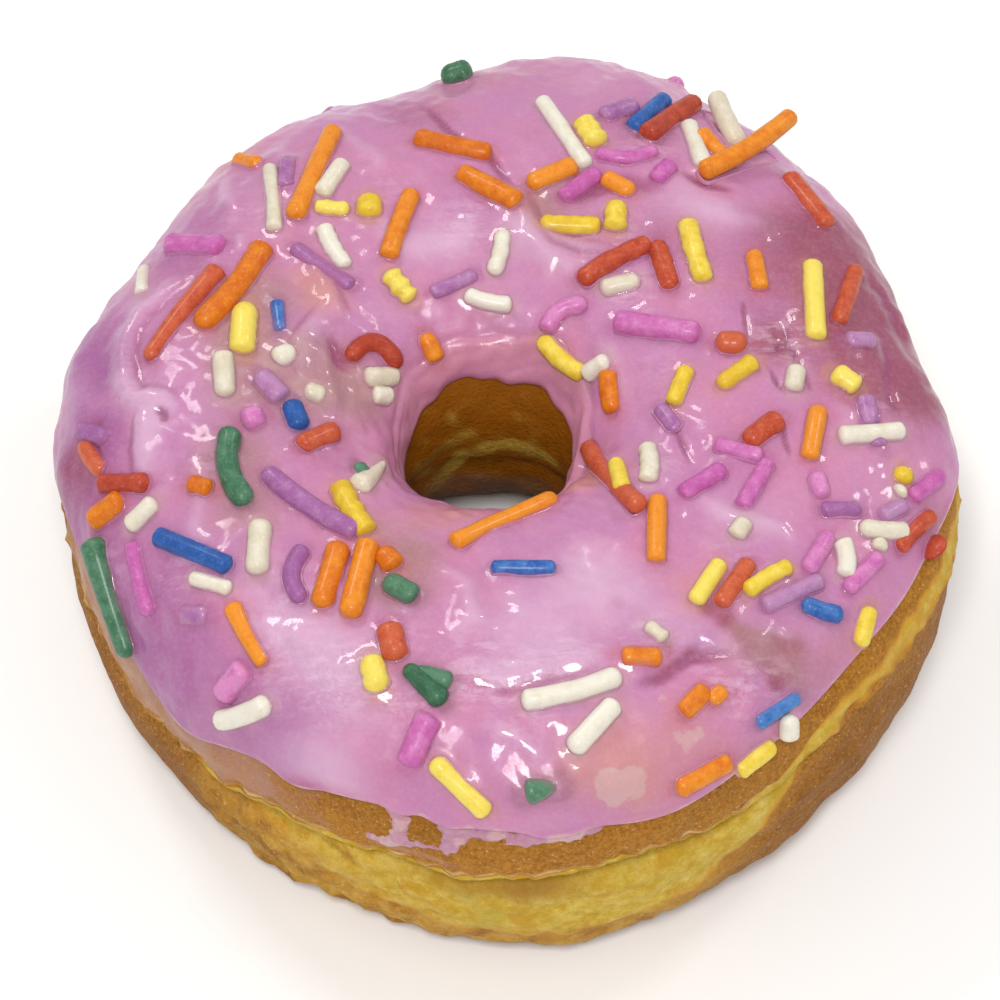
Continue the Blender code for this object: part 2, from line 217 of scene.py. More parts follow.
# Where the icing differs in colour: x, y, radius, how much. It is tan where the dough shows through it.
TAN_PLACES = (
    (-27, 6, 5, 0.7), (-24, 10, 4, 0.6), (-25, -1, 5, 0.65), (-27, -9, 4, 0.55), (-25, -15, 5, 0.65),
    (-20, -3, 4, 0.55), (-17, 3, 4, 0.6), (-15, -1, 3, 0.6), (-14, -17, 3, 0.6), (-9, -20, 3.5, 0.75),
    (-12, -24, 3, 0.6), (-9, -25, 4, 0.4), (3, 21, 2.6, 0.95), (7, 24, 3, 0.7), (5.5, 17.5, 2.5, 0.5),
    (1, 42, 6, 0.35), (-7, 40, 4, 0.35), (-32, 25, 4, 0.3), (37, 22, 4, 0.5), (31, -26, 5, 0.2),
    (24, -28, 5, 0.25), (27, -22, 3, 0.3), (41, -14, 4, 0.4), (-21, 17, 2, 0.3), (30, -31, 4, 0.25),
    (22, -31, 3, 0.4), (24, -30, 1.5, 0.3), (26.4, -31.6, 1.8, 0.4), (27.6, -33.4, 1.5, 0.3),
    (21.4, -28.8, 1.2, 0.3),
)
# Rose is partly the icing's own deeper tone and partly painted shade: darker on the right flank and beside
# the sprinkles at the far left
ROSE_PLACES = (
    (-8, 33, 5, 0.35), (3, 31, 5, 0.25), (14, 33, 4, 0.8), (-16, 24, 4, 0.3), (8, 24, 4, 0.3),
    (8, 16, 5, 0.35), (16, 17, 4, 0.4), (26, 16, 6, 0.4), (32, 20, 6, 0.7), (37, 13, 7, 1.0),
    (33, 8, 5, 0.6), (41, 7, 6, 0.9), (33, 0, 5, 0.45), (40, 0, 6, 0.5), (24, -8, 5, 0.4),
    (-31, 14, 4, 0.4), (-31, 8, 3, 0.4), (-41, -9, 4, 0.35), (-17, -9, 4, 0.35), (-36, -16, 4, 0.2),
    (24, 8, 5, 0.25), (42, -14, 4, 0.5), (27, -31, 4, 0.35), (25.6, 3.6, 3, 0.6), (-13, -42, 5, 0.2),
    (-23, 26, 2, 0.5), (2, -43, 5, 0.2), (-19, 11, 2, 0.5), (-42.5, -5.5, 3, 0.6), (-11, 36.5, 4, 0.3),
    (25.2, -31, 1.2, 0.6), (27, -29.5, 1, 0.5), (40.5, 5, 5, 0.5), (18.5, -26.6, 1, 0.9),
    (20.3, -27.8, 1.1, 0.9), (21.8, -29.3, 1, 0.8), (25.2, -30, 1, 0.8), (25.8, -31.5, 0.9, 0.9),
    (25, -33, 0.9, 0.8), (10, -26.6, 1.2, 0.35), (12, -27.5, 1.2, 0.3), (14.5, -30.9, 1, 0.7),
    (17, -31.4, 1, 0.7), (23.5, -30, 1.8, 0.6), (35, 6, 3, 0.5),
)
SALMON_PLACES = (
    (9, -8, 3, 0.7), (-8, -15, 4, 0.55), (-4, -14, 3, 0.5), (9, -40, 4, 0.5), (12, -43, 4, 0.6),
    (17, -25, 4, 0.3), (15, -22, 4, 0.2), (16, -38, 4, 0.4), (-29, 33, 4, 0.6), (-20, 12, 3, 0.5),
    (-16, 22, 4, 0.25), (6, -43, 3, 0.4), (20, -40, 3, 0.3), (-17.8, 9.4, 3, 0.7), (6.6, -9.8, 1.7, 0.9),
)
PURPLE_PLACES = (
    (-43, -5, 6, 0.7), (-41, -12, 6, 0.6), (-38, -22, 6, 0.6), (-33, -29, 6, 0.7), (-26, -35, 5, 0.5),
    (-40, 6, 6, 0.35), (-33, 16, 4, 0.4), (-41, 14, 5, 0.2), (31, -17, 4, 0.3), (-8, -33, 3, 0.25),
    (-21, -37, 5, 0.4), (-30, -20, 4, 0.25), (-3, -21, 4, 0.2), (30, 2, 2.5, 0.4), (-31, 21, 5, 0.45),
    (10.4, -6.2, 1.2, 0.6), (-40.5, -5, 2.5, 0.6), (-42, 8, 4, 0.45), (-40, 3, 3, 0.35),
    (18.3, -30, 2.2, 0.5),
)
PALE_PLACES = (
    (-8, 17, 5, 0.5), (9, 41, 5, 0.4), (-16, 39, 4, 0.4), (17, 23, 5, 0.45), (20, 20, 4, 0.4),
    (-34, 2, 4, 0.3), (-35, -4, 3, 0.6), (-23, -26, 4, 0.3), (-17, -32, 5, 0.6), (-13, -36, 4, 0.4),
    (0, -31, 5, 0.5), (3, -27, 5, 0.3), (9, -25, 5, 0.6), (15, -28, 4, 0.4), (7, -22, 4, 0.4),
    (22, -17, 4, 0.4), (-19, -28, 5, 0.4), (-12, 9, 4, 0.3), (0, 15, 4, 0.2), (-37, 12, 3, 0.4),
    (5, -33, 3, 0.4), (28, -13, 3, 0.3), (18, -13, 3, 0.2), (-24, -22, 3, 0.3),
)

# Where a thin milky veil lies on it
VEIL_PLACES = (
    (8.6, -43.4, 1.3, 0.6), (10.4, -43, 1.5, 0.65), (11.8, -42.6, 1.2, 0.5), (9.6, -44.2, 1.2, 0.5),
    (16, -39.3, 1.1, 0.5), (17.8, -38.5, 1.2, 0.55), (19.3, -37.9, 0.9, 0.4), (13.5, -35.6, 1.3, 0.5),
    (-29, 24, 2, 0.35), (5.5, -19.5, 1.6, 0.4),
)

# Where the icing's skin is finely wrinkled, so that its gloss breaks into glints, and where pale streaks of
# painted highlight are mixed into its colour
WRINKLED_PLACES = (
    (-4, 19, 3, 1), (-29.5, -10, 1.8, 1), (-31, -21, 2.5, 0.8), (12.5, 10, 2.5, 1), (-3, -33, 3, 1),
    (1, -37, 3, 0.8), (-14, -33.5, 3, 1), (28, 5, 2.5, 0.7), (14.5, 29.5, 2.5, 0.8), (-22, 23, 2.5, 0.6),
    (-39, -18, 2.5, 0.7), (-27, 20, 3, 0.5), (21, -20, 2.5, 0.6), (13, -30, 3, 0.8), (20, -34, 3, 0.8),
    (36, -3, 2.5, 0.6), (-12, 24, 2, 0.5), (3, 24, 2, 0.8), (-9, -30, 2, 0.5), (-22, -31, 3, 0.7),
    (-37, -1, 2.5, 0.5), (15, 2, 2, 0.5), (-20, -25.5, 3, 0.9), (-17, -33.5, 3.5, 0.9),
    (-9.5, -36.5, 2, 0.8), (-2, -33, 3, 0.8), (5, -32.6, 3.4, 1), (10.5, 16.5, 3, 0.8), (15.5, -10, 2, 0.6),
    (26, 4.4, 2.5, 1), (24, -33, 3, 0.7),
)


def waves(direction, terms):
    """The sum of height * cos(count * (direction - top)) over the terms."""
    return sum(size * np.cos(count * np.radians(direction - top)) for count, size, top in terms)


def between(direction, stops):
    """A smooth closed curve (Catmull-Rom) through stops that lie at equal steps round the ring."""
    values = np.asarray(stops, float)
    place = np.asarray(direction, float) / 360.0 * len(values)
    first = np.floor(place).astype(int)
    part = place - first
    before, start, end, after = (values[(first + k) % len(values)] for k in (-1, 0, 1, 2))
    slope, next_slope = (end - before) / 2, (after - start) / 2
    step = part * part * (3 - 2 * part)
    return (start + (end - start) * step + slope * part * (1 - part) ** 2
            - next_slope * part * part * (1 - part))


def ease(low, high, values):
    """0 below low, 1 above high, and a smooth step between."""
    part = np.clip((values - low) / (high - low), 0, 1)
    return part * part * (3 - 2 * part)


def ripples(points, wavelength, seed, count=18):
    """Smooth random relief of about -1 to 1: a sum of cosines in random directions, near one wavelength."""
    chance = np.random.default_rng(seed)
    heading = chance.normal(size=(count, 3))
    heading /= np.linalg.norm(heading, axis=1, keepdims=True)
    turns = heading * (2 * np.pi / (wavelength * chance.uniform(0.7, 1.5, (count, 1))))
    phase = chance.uniform(0, 2 * np.pi, count)
    total = sum(np.cos(points @ turn + start) for turn, start in zip(turns, phase))
    return total / np.sqrt(count)


def groove(below, depth, width):
    """How far a groove goes in, a given lean below a lip: depth * ratio * exp(1 - ratio), deepest at its
    width."""
    ratio = np.maximum(below, 0) / width
    return depth * ratio * np.exp(1 - ratio)


def dough_point(direction, lean, detail=0.0):
    """Points of the dough: a superellipse for each quarter of the section, carried round the ring, whose
    radius is shifted by the groove under the lip and by the waves of the outline. Detail sharpens the
    lip's cut."""
    direction, lean = np.broadcast_arrays(direction, lean)
    angle, turn = np.radians(direction), np.radians(lean)
    across, up = np.cos(turn), np.sin(turn)
    outer, top = across > 0, up > 0
    square = np.where(outer, np.where(top, TOP_OUTER, BASE_OUTER), np.where(top, TOP_INNER, BASE_INNER))
    reach = (np.abs(across) ** square + np.abs(up) ** square) ** (-1 / square)
    across, up = across * reach, up * reach
    lip = between(direction, LIP_HEIGHTS) + detail * waves(direction, LIP_RAGGED)
    middle = HOLE_LIP_HEIGHT + (lip - HOLE_LIP_HEIGHT) * (across + 1) / 2
    crest = DOUGH_HEIGHT + BASE_FLATTENING + waves(direction, CREST_WAVES)
    height = np.where(top, middle + (crest - middle) * up, middle + middle * up)
    centre = CREST_RADIUS + (BASE_RADIUS - CREST_RADIUS) * (1 - up) / 2
    width = np.where(outer, OUTER_RADIUS - centre, centre - HOLE_RADIUS)
    radius = centre + width * across
    depth = between(direction, GROOVE_DEPTHS)
    radius = radius - groove(-lean, depth, 3.5 - 1.2 * detail) + groove(lean + 180, 0.3, 3.5)
    outwards = (radius - HOLE_RADIUS) / (OUTER_RADIUS - HOLE_RADIUS)
    inwards = np.clip(1 - outwards, 0, None)
    radius = radius + np.clip(outwards, 0, None) ** 1.5 * waves(direction, OUTLINE_WAVES)
    radius = radius + inwards ** 1.5 * HOLE_OVAL * np.cos(2 * angle)
    x = radius * np.cos(angle) + HOLE_SHIFT[0] * inwards + AXIS_SHIFT[0]
    y = radius * np.sin(angle) + HOLE_SHIFT[1] * inwards + AXIS_SHIFT[1]
    return np.stack([x, y, np.clip(height - BASE_FLATTENING, 0, None)], axis=-1)


def dough_normal(direction, lean, step=0.5):
    """Outward unit normals of the dough's plain form, from neighbouring points."""
    along = dough_point(direction + step, lean) - dough_point(direction - step, lean)
    down = dough_point(direction, lean - step) - dough_point(direction, lean + step)
    normal = np.cross(down, along)
    return normal / np.linalg.norm(normal, axis=-1, keepdims=True)


def closed_grid(name, points, attributes):
    """A mesh from points[direction, place round the section], joined to itself both ways, in
    millimetres."""
    rings, places = points.shape[:2]
    ring, place = np.meshgrid(np.arange(rings), np.arange(places), indexing="ij")
    next_ring, next_place = (ring + 1) % rings, (place + 1) % places
    corners = np.stack([ring * places + place, ring * places + next_place,
                        next_ring * places + next_place, next_ring * places + place], axis=-1)
    return new_mesh(name, points.reshape(-1, 3), corners.reshape(-1, 4), attributes)


def new_mesh(name, points, quads, attributes, triangles=None):
    """An object at the origin from vertices in millimetres, faces by index, and named values per vertex."""
    mesh = bpy.data.meshes.new(name)
    faces = quads.tolist() + ([] if triangles is None else triangles.tolist())
    mesh.from_pydata((points * MM).tolist(), [], faces)
    mesh.shade_smooth()
    for key, values in attributes.items():
        if values.ndim > 1 and values.shape[-1] == 4:
            layer = mesh.attributes.new(key, "FLOAT_COLOR", "POINT")
            layer.data.foreach_set("color", values.reshape(-1).astype(np.float32))
        else:
            layer = mesh.attributes.new(key, "FLOAT", "POINT")
            layer.data.foreach_set("value", values.reshape(-1).astype(np.float32))
    piece = bpy.data.objects.new(name, mesh)
    bpy.context.scene.collection.objects.link(piece)
    return piece


# ---- finishes ----------------------------------------------------------------------------------------

class Amount:
    """A number that changes over a surface. Sums on it add the Math nodes that work it out."""

    def __init__(self, tree, socket):
        self.tree, self.socket = tree, socket

    def maths(self, operation, *terms):
        """The result of one Math node on terms that are numbers or amounts."""
        node = self.tree.nodes.new("ShaderNodeMath")
        node.operation = operation
        for slot, term in zip(node.inputs, terms):
            if isinstance(term, Amount):
                self.tree.links.new(term.socket, slot)
            else:
                slot.default_value = term
        return Amount(self.tree, node.outputs[0])

    def __add__(self, other):
        return self.maths("ADD", self, other)

    def __sub__(self, other):
        return self.maths("SUBTRACT", self, other)

    def __rsub__(self, other):
        return self.maths("SUBTRACT", other, self)

    def __mul__(self, other):
        return self.maths("MULTIPLY", self, other)

    __radd__, __rmul__ = __add__, __mul__

    def step(self, low, high):
        """0 below low, 1 above high, and smooth between."""
        node = self.tree.nodes.new("ShaderNodeMapRange")
        node.interpolation_type = "SMOOTHSTEP"
        self.tree.links.new(self.socket, node.inputs["Value"])
        node.inputs["From Min"].default_value = low
        node.inputs["From Max"].default_value = high
        return Amount(self.tree, node.outputs[0])


class Finish:
    """A procedural material: its shader's fixed values, and the nodes that feed what changes over a
    surface."""

    def __init__(self, name, **fixed):
        self.material = bpy.data.materials.new(name)
        self.material.use_nodes = True
        self.tree = self.material.node_tree
        self.shader = self.tree.nodes["Principled BSDF"]
        for key, value in fixed.items():
            self.shader.inputs[key.replace("_", " ")].default_value = value
        self.place = self.node("ShaderNodeTexCoord", output="Object")

    def node(self, kind, settings=None, output=0, **values):
        """Adds a node: its settings first, then the values or links of its sockets; returns one output."""
        node = self.tree.nodes.new(kind)
        for key, value in (settings or {}).items():
            setattr(node, key, value)
        for key, value in values.items():
            self.join(value, node.inputs[int(key[1:]) if key[0] == "_" else key.replace("_", " ")])
        socket = node.outputs[output]
        return Amount(self.tree, socket) if socket.type == "VALUE" else socket

    def join(self, value, socket):
        """Links an amount or a socket to an input, or sets the input to a fixed value."""
        if isinstance(value, Amount):
            value = value.socket
        if isinstance(value, bpy.types.NodeSocket):
            self.tree.links.new(value, socket)
        else:
            socket.default_value = value

    def feed(self, **values):
        """Joins values to the shader's own inputs, by name."""
        for key, value in values.items():
            self.join(value, self.shader.inputs[key.replace("_", " ")])

    def attribute(self, name, output="Fac"):
        """A named value of the mesh's vertices."""
        return self.node("ShaderNodeAttribute", {"attribute_name": name}, output)

    def noise(self, grain, detail=3.0, roughness=0.55, stretch=(1, 1, 1)):
        """Noise from 0 to 1 whose grain is about that many millimetres."""
        where = self.place
        if stretch != (1, 1, 1):
            where = self.node("ShaderNodeMapping", Vector=where, Scale=stretch)
        return self.node("ShaderNodeTexNoise", Vector=where, Scale=1000.0 / grain, Detail=detail,
                         Roughness=roughness)

    def mix(self, amount, first, second):
        """A colour between two others, where a colour is three numbers or a link."""
        first, second = ((*c, 1.0) if isinstance(c, tuple) else c for c in (first, second))
        return self.node("ShaderNodeMix", {"data_type": "RGBA"}, 2, _0=amount, _6=first, _7=second)

    def bump(self, height, distance, strength=1.0, normal=None):
        """A normal tilted by a height from 0 to 1 that stands for the distance in millimetres."""
        sockets = dict(Height=height, Distance=distance * MM, Strength=strength)
        if normal is not None:
            sockets["Normal"] = normal
        return self.node("ShaderNodeBump", **sockets)


def crust_finish():
    """Fried dough: golden granular crust, a pale crumb band, browner below, and a sugar film on one
    side."""
    finish = Finish("fried_crust_look", Metallic=0.0, Specular_IOR_Level=0.15, Subsurface_Weight=0.08,
                    Subsurface_Radius=(0.8, 0.4, 0.1), Subsurface_Scale=0.001, Coat_Roughness=0.3)
    pale, toast = finish.attribute("pale"), finish.attribute("toast")
    film, inside = finish.attribute("film"), finish.attribute("inside")
    broad, blotch, pores = finish.noise(7, 3), finish.noise(1.5, 5, 0.7), finish.noise(0.40, 3, 0.75)
    sand = (pores - 0.5) * 1.3
    shade = (toast + (broad - 0.5) * 0.5 + (blotch - 0.5) * 0.55 + sand * 1.4).step(-0.1, 1.1)
    crust = finish.mix(shade, (0.51, 0.228, 0.030), (0.225, 0.074, 0.003))
    grit = finish.mix((blotch + sand * 0.5).step(0.3, 0.75), (0.545, 0.335, 0.014), (0.77, 0.59, 0.13))
    patchy = finish.noise(3.4, 4, 0.62)
    crumb = finish.mix(patchy.step(0.54, 0.68) * 0.6, grit, (0.76, 0.61, 0.19))
    crumb = finish.mix(patchy.step(0.47, 0.36) * 0.75, crumb, (0.55, 0.300, 0.022))
    crumb = finish.mix(broad.step(0.52, 0.66) * 0.55, crumb, (0.50, 0.380, 0.045))
    crumb = finish.mix(sand * 1.8 + 0.14, crumb, (0.45, 0.250, 0.014))
    soft_pale = (pale + (blotch - 0.5) * 0.35 + sand * 0.1).step(0.15, 0.9) * pale.step(0.0, 0.1)
    golden = finish.mix(soft_pale.step(0.0, 0.5), crust, (0.62, 0.320, 0.030))
    colour = finish.mix(soft_pale.step(0.3, 1.0), golden, crumb)
    bare = finish.attribute("golden") * (0.2 + 0.8 * patchy.step(0.38, 0.56))
    toasted = finish.mix(blotch.step(0.35, 0.65), (0.52, 0.270, 0.025), (0.66, 0.400, 0.075))
    colour = finish.mix(bare * 0.85, colour, toasted)
    spots = finish.attribute("golden") * patchy.step(0.43, 0.34)
    colour = finish.mix(spots * 0.75, colour, (0.310, 0.120, 0.010))
    # painted shade: brown under the overhanging lip
    colour = finish.mix(finish.attribute("shadow") * 0.8, colour, (0.30, 0.130, 0.020))
    colour = finish.mix(finish.attribute("rind") * (0.4 + blotch), colour, (0.70, 0.48, 0.22))
    light_fold = (finish.attribute("fold") + (blotch - 0.5) * 0.8).step(0.1, 1.0)
    wall = finish.mix(light_fold, (0.285, 0.092, 0.001), (0.47, 0.310, 0.045))
    wall = finish.mix(finish.attribute("foot") * 0.8, wall, (0.260, 0.130, 0.065))
    wall = finish.mix(pores.step(0.3, 0.7) * 0.35, wall, (0.20, 0.060, 0.001))
    colour = finish.mix(inside, colour, wall)
    wet = (film + (finish.noise(3, 4) - 0.5) * 1.4).step(0.25, 1.0)
    colour = finish.mix(wet * (0.44 + sand * 1.3), colour, (0.47, 0.205, 0.180))
    # painted glints: pale specks in the colour, where the roughness is lower too
    glint = finish.noise(0.34, 1, 0.5).step(0.665, 0.745)
    colour = finish.mix(glint * 0.4 * (1 - inside) * (1 - pale), colour, (0.85, 0.62, 0.30))
    finish.feed(Base_Color=colour, Roughness=0.62 - wet * 0.3 - glint * 0.25, Coat_Weight=wet * 0.4 + 0.02)
    relief = finish.bump(finish.noise(2.2, 5, 0.65), 0.42, 0.7)
    finish.feed(Normal=finish.bump(pores, 0.28, 0.9, normal=relief))
    return finish.material


def icing_finish():
    """Sugar icing: lilac, milky or rose by place, tan where thin, stained by sprinkles, glossy over
    ripples. Painted shade darkens its creases, a rim round each sprinkle and part of the rose; painted
    highlight lightens its ridges, and streaks where it is wrinkled."""
    finish = Finish("icing_look", Metallic=0.0, Specular_IOR_Level=0.30, Subsurface_Weight=0.30,
                    Subsurface_Radius=(1.0, 0.5, 0.7), Subsurface_Scale=0.0012, Coat_Roughness=0.05,
                    Coat_IOR=1.5)
    cloud, swirl, grain = finish.noise(9, 3, 0.5), finish.noise(3.0, 5, 0.62), finish.noise(0.45, 3, 0.6)
    drift = swirl - 0.5
    lilac, pink = (0.500, 0.205, 0.390), (0.545, 0.215, 0.370)
    colour = finish.mix((cloud + drift * 0.5).step(0.35, 0.68), lilac, pink)
    # pale is partly painted highlight along fold ridges, and rose partly painted shade
    for name, tint, most in (("pale", (0.62, 0.375, 0.54), 0.85), ("purple", (0.33, 0.090, 0.275), 0.9),
                             ("rose", (0.275, 0.056, 0.098), 0.9), ("salmon", (0.56, 0.240, 0.225), 0.9),
                             ("tan", (0.385, 0.190, 0.205), 0.95)):
        colour = finish.mix((finish.attribute(name) + drift * 0.55).step(0.10, 0.95) * most, colour, tint)
    # painted shade: darker plum in the creases, along the foot of steep ridges and at the collar's edge
    # line
    colour = finish.mix(finish.attribute("crease_shade").step(0.2, 1.0) * 0.85, colour, (0.280, 0.055, 0.140))
    colour = finish.mix(finish.attribute("rim") * 0.75, colour, (0.530, 0.215, 0.280))
    veil = (finish.attribute("veil") + drift * 1.8).step(0.40, 0.58)
    colour = finish.mix(veil * 0.7, colour, (0.58, 0.37, 0.36))
    # colour bled from the sprinkles, with a rim of painted contact shade round each
    stain_and_shade = finish.node("ShaderNodeAttribute", {"attribute_name": "stain_and_shade"}, "Color")
    colour = finish.mix(finish.attribute("stain_and_shade", "Alpha"), colour, stain_and_shade)
    colour = finish.mix((grain - 0.45) * 0.35, colour, (0.80, 0.50, 0.68))
    patches, wrinkled = finish.noise(5, 4, 0.6), finish.attribute("wrinkled")
    finish.feed(Roughness=0.40 + (patches - 0.5) * 0.2,
                Coat_Weight=0.12 + (patches + wrinkled * 0.3).step(0.42, 0.62) * 0.45)
    relief = finish.bump(finish.noise(2.4, 3, 0.5), 0.14, 0.8)
    streaks = finish.noise(1.5, 3, 0.6, stretch=(0.6, 1.5, 1.1))
    # painted highlight: pale streaks in the colour where the skin is wrinkled
    painted_sheen = streaks.step(0.46, 0.64) * wrinkled
    finish.feed(Base_Color=finish.mix(painted_sheen * 0.30, colour, (0.78, 0.56, 0.71)))
    fine = finish.noise(0.7, 2, 0.6) + streaks
    wrinkles = finish.bump(fine * (0.25 + wrinkled * 1.9), 0.12, 0.9, normal=relief)
    finish.feed(Normal=wrinkles)
    return finish.material


def sprinkle_finish(name, main, light, dark):
    """A sugar sprinkle: mottled colour, worn pale grains, a grainy skin, pinker where the icing laps over
    it."""
    finish = Finish(name + "_sprinkle_look", Metallic=0.0, Specular_IOR_Level=0.25, Subsurface_Weight=0.12,
                    Subsurface_Radius=(0.7, 0.5, 0.4), Subsurface_Scale=0.0005, Coat_Roughness=0.18)
    tone, lapped = finish.attribute("tone"), finish.attribute("lapped")
    blotch, grain = finish.noise(1.2, 3, 0.6), finish.noise(0.30, 3, 0.65)
    colour = finish.mix((blotch + (tone - 0.5) * 0.5).step(0.35, 0.75), main, light)
    colour = finish.mix((1 - blotch + (0.5 - tone) * 0.5).step(0.55, 0.85) * 0.6, colour, dark)
    colour = finish.mix(grain.step(0.55, 0.75) * 0.14, colour, tuple(0.5 + 0.45 * c for c in light))
    colour = finish.mix((1 - grain).step(0.55, 0.75) * 0.22, colour, dark)
    iced = tuple(0.45 * c + 0.55 * pink for c, pink in zip(dark, (0.50, 0.17, 0.30)))
    colour = finish.mix((lapped + (blotch - 0.5) * 0.5).step(0.25, 1.0) * 0.6, colour, iced)
    finish.feed(Base_Color=colour, Roughness=0.48 - lapped * 0.2,
                Coat_Weight=0.14 + tone * 0.12 + lapped * 0.5)
    finish.feed(Normal=finish.bump(grain, 0.06, 0.7, normal=finish.bump(blotch, 0.12, 0.6)))
    return finish.material


# ---- dough -------------------------------------------------------------------------------------------

def dough_leans():
    """Places round the section, close together where the side and the wall of the hole show."""
    stretches = ((90, 38, 8), (38, 6, 44), (6, -12, 46), (-12, -62, 50), (-62, -112, 14), (-112, -150, 12),
                 (-150, -215, 34), (-215, -270, 8))
    return np.concatenate([np.linspace(high, low, count, endpoint=False) for high, low, count in stretches])


DOUGH_DIRECTIONS = 430
WALL_MM_PER_DEGREE = 0.134               # round the wall of the hole
# Light folds in the wall of the hole: how light, width, and the direction and height of points along each
HOLE_FOLDS = (
    (1.1, 1.15, ((140, 10.5), (132, 12.6), (124, 14.6), (111, 17.2), (96, 18.2))),
    (1.1, 0.85, ((88, 18.8), (68, 19.2), (52, 18.7), (37, 18.3))),
    (0.45, 1.4, ((146, 16), (131, 19), (107, 20.5))),
    (0.35, 1.0, ((118, 24), (108, 24.4))),
    (0.6, 1.2, ((215, 12), (250, 15), (290, 16), (330, 15))),
)
# Painted shade under the overhanging lip, as brown patches: direction, height from the lip, half widths
# in degrees and in millimetres, and how much
UNDER_LIP = (
    (272.5, -3.6, 6.5, 1.6, 1.0), (262.0, -3.2, 5.0, 1.2, 0.5), (291.0, -2.6, 9.0, 0.9, 0.4),
    (240.0, -2.4, 9.0, 0.8, 0.5),
)


def along_line(stops, count):
    """Points along a polyline, in order: its first coordinates and its second ones, straight between
    stops."""
    stops = np.asarray(stops, float)
    place = np.linspace(0, len(stops) - 1, count)
    return np.array([np.interp(place, np.arange(len(stops)), stops[:, k]) for k in (0, 1)])


def stroke(across, along, points, width):
    """1 on a polyline given by points, falling off as exp(-(distance / width) squared)."""
    gap = min_gap(across, along, *along_line(points, 24))
    return np.exp(-gap / width ** 2)


def min_gap(across, along, line_across, line_along):
    """The least squared distance from each place to the points of a line."""
    least = np.full(across.shape, np.inf)
    for at_across, at_along in zip(line_across, line_along):
        least = np.minimum(least, (across - at_across) ** 2 + (along - at_along) ** 2)
    return least


def crust_surface(directions, leans):
    """The uneven skin of the dough: the plain point + its normal * relief, where the relief is a sum of
    ripples, stronger where the crust is torn and along the lip, and none at the foot. Returns the points,
    the plain points and normals under them, which of them face out, their heights from the lip, and how
    torn they are."""
    plain = dough_point(directions, leans, 1.0)
    normal = dough_normal(directions, leans)
    directions, leans = np.broadcast_arrays(directions, leans)
    height = plain[..., 2]
    outer = np.cos(np.radians(leans)) > 0
    below = height - between(directions, LIP_HEIGHTS) - waves(directions, LIP_RAGGED)
    torn = ease(222, 230, directions) * ease(310, 290, directions) * ease(-1.5, -4, below) * outer
    torn = torn * (0.45 + 0.55 * ease(265, 250, directions))
    rolls = 0.16 * ripples(plain * np.array([0.35, 0.35, 1.0]), 5.5, 9) * ease(0.3, -1.5, below) * outer
    relief = (0.14 * ripples(plain, 9, 1) + 0.07 * ripples(plain, 3.4, 2) + 0.035 * ripples(plain, 1.8, 3)
              + rolls + torn * (0.24 * ripples(plain, 3.0, 4) + 0.16 * ripples(plain, 1.7, 5))
              + 0.30 * ripples(plain, 1.9, 12) * np.exp(-(below / 0.7) ** 2) * outer)
    points = plain + normal * (relief * ease(0.2, 3.0, height))[..., None]
    points[..., 2] = np.where(height <= 0.0, 0.0, np.maximum(points[..., 2], 0.0))
    return points, plain, normal, outer, below, torn


def side_values(directions, leans, plain, outer, below, torn):
    """What the finish reads on the dough's side, from 0 to 1. Each is a product of smooth steps in the
    direction and in the height from the lip, with edges moved by ripples: the pale crumb band, the
    toasting, the golden and bare places at the front, the light rind along the lip, the sugar film and
    the brown shadows."""
    height = plain[..., 2]
    top, foot = between(directions, PALE_TOP), between(directions, PALE_FOOT)
    wander = 0.5 * ripples(plain, 6, 6) + 0.3 * ripples(plain, 2.4, 7)
    right = ease(302, 318, directions) + ease(30, 10, directions)
    blur = 0.35 + 0.9 * right
    pale = (ease(1, -1, (below - top + (0.2 + 0.5 * right) * wander) / blur)
            * ease(-3.2, 2.0, below - foot + 1.0 * wander) * outer * ease(-0.2, 0.8, top - foot)
            * (1 - 0.25 * right))
    toast = 0.38 + 0.25 * ease(0, 8, below) * outer + 0.34 * ease(0.5, 7, foot - below) * outer
    front = ease(232, 250, directions) * ease(306, 288, directions)
    golden = (front * ease(2.0, -2.5, below - foot + 2.0 * wander) * ease(0.6, 3.5, height) * outer * 0.9
              + torn * ease(265, 250, directions) * 0.6)
    rind = (np.exp(-((below - 0.10) / 0.20) ** 2) * (0.6 + 0.4 * ripples(plain, 2.2, 11)).clip(0, 1)
            * outer * ease(0.5, 1.2, between(directions, GROOVE_DEPTHS)))
    film = ease(184, 198, directions) * ease(260, 230, directions) * ease(-0.2, 1.0, below) * outer
    film = film + (0.75 * ease(251, 255, directions) * ease(268, 263, directions)
                   * np.exp(-((leans - 8.0) / 3.0) ** 2))
    shadow = sum(most * np.exp(-((directions - at) / wide) ** 2 - ((below - drop) / deep) ** 2)
                 for at, drop, wide, deep, most in UNDER_LIP) * outer * ease(0.2, -0.4, below)
    return {"pale": pale, "toast": toast, "golden": np.clip(golden, 0, 1), "rind": rind,
            "film": np.clip(film, 0, 1), "shadow": np.clip(shadow, 0, 1)}


def hole_values(directions, leans, plain):
    """What the finish reads in the hole: 1 on its wall, how light its folds are, and 1 near its foot."""
    height = plain[..., 2]
    inside = ease(0.15, -0.45, np.cos(np.radians(leans))) * ease(-95, -125, leans)
    around = directions * WALL_MM_PER_DEGREE
    fold = np.zeros(height.shape)
    for light, width, line in HOLE_FOLDS:
        on_wall = [(at * WALL_MM_PER_DEGREE, up) for at, up in line]
        fold = fold + light * stroke(around, height, on_wall, width)
    fold = fold + 0.22 * ripples(plain, 3.0, 8)
    return {"inside": inside, "fold": fold, "foot": ease(14.4, 12.0, height + 0.5 * ripples(plain, 4, 10))}


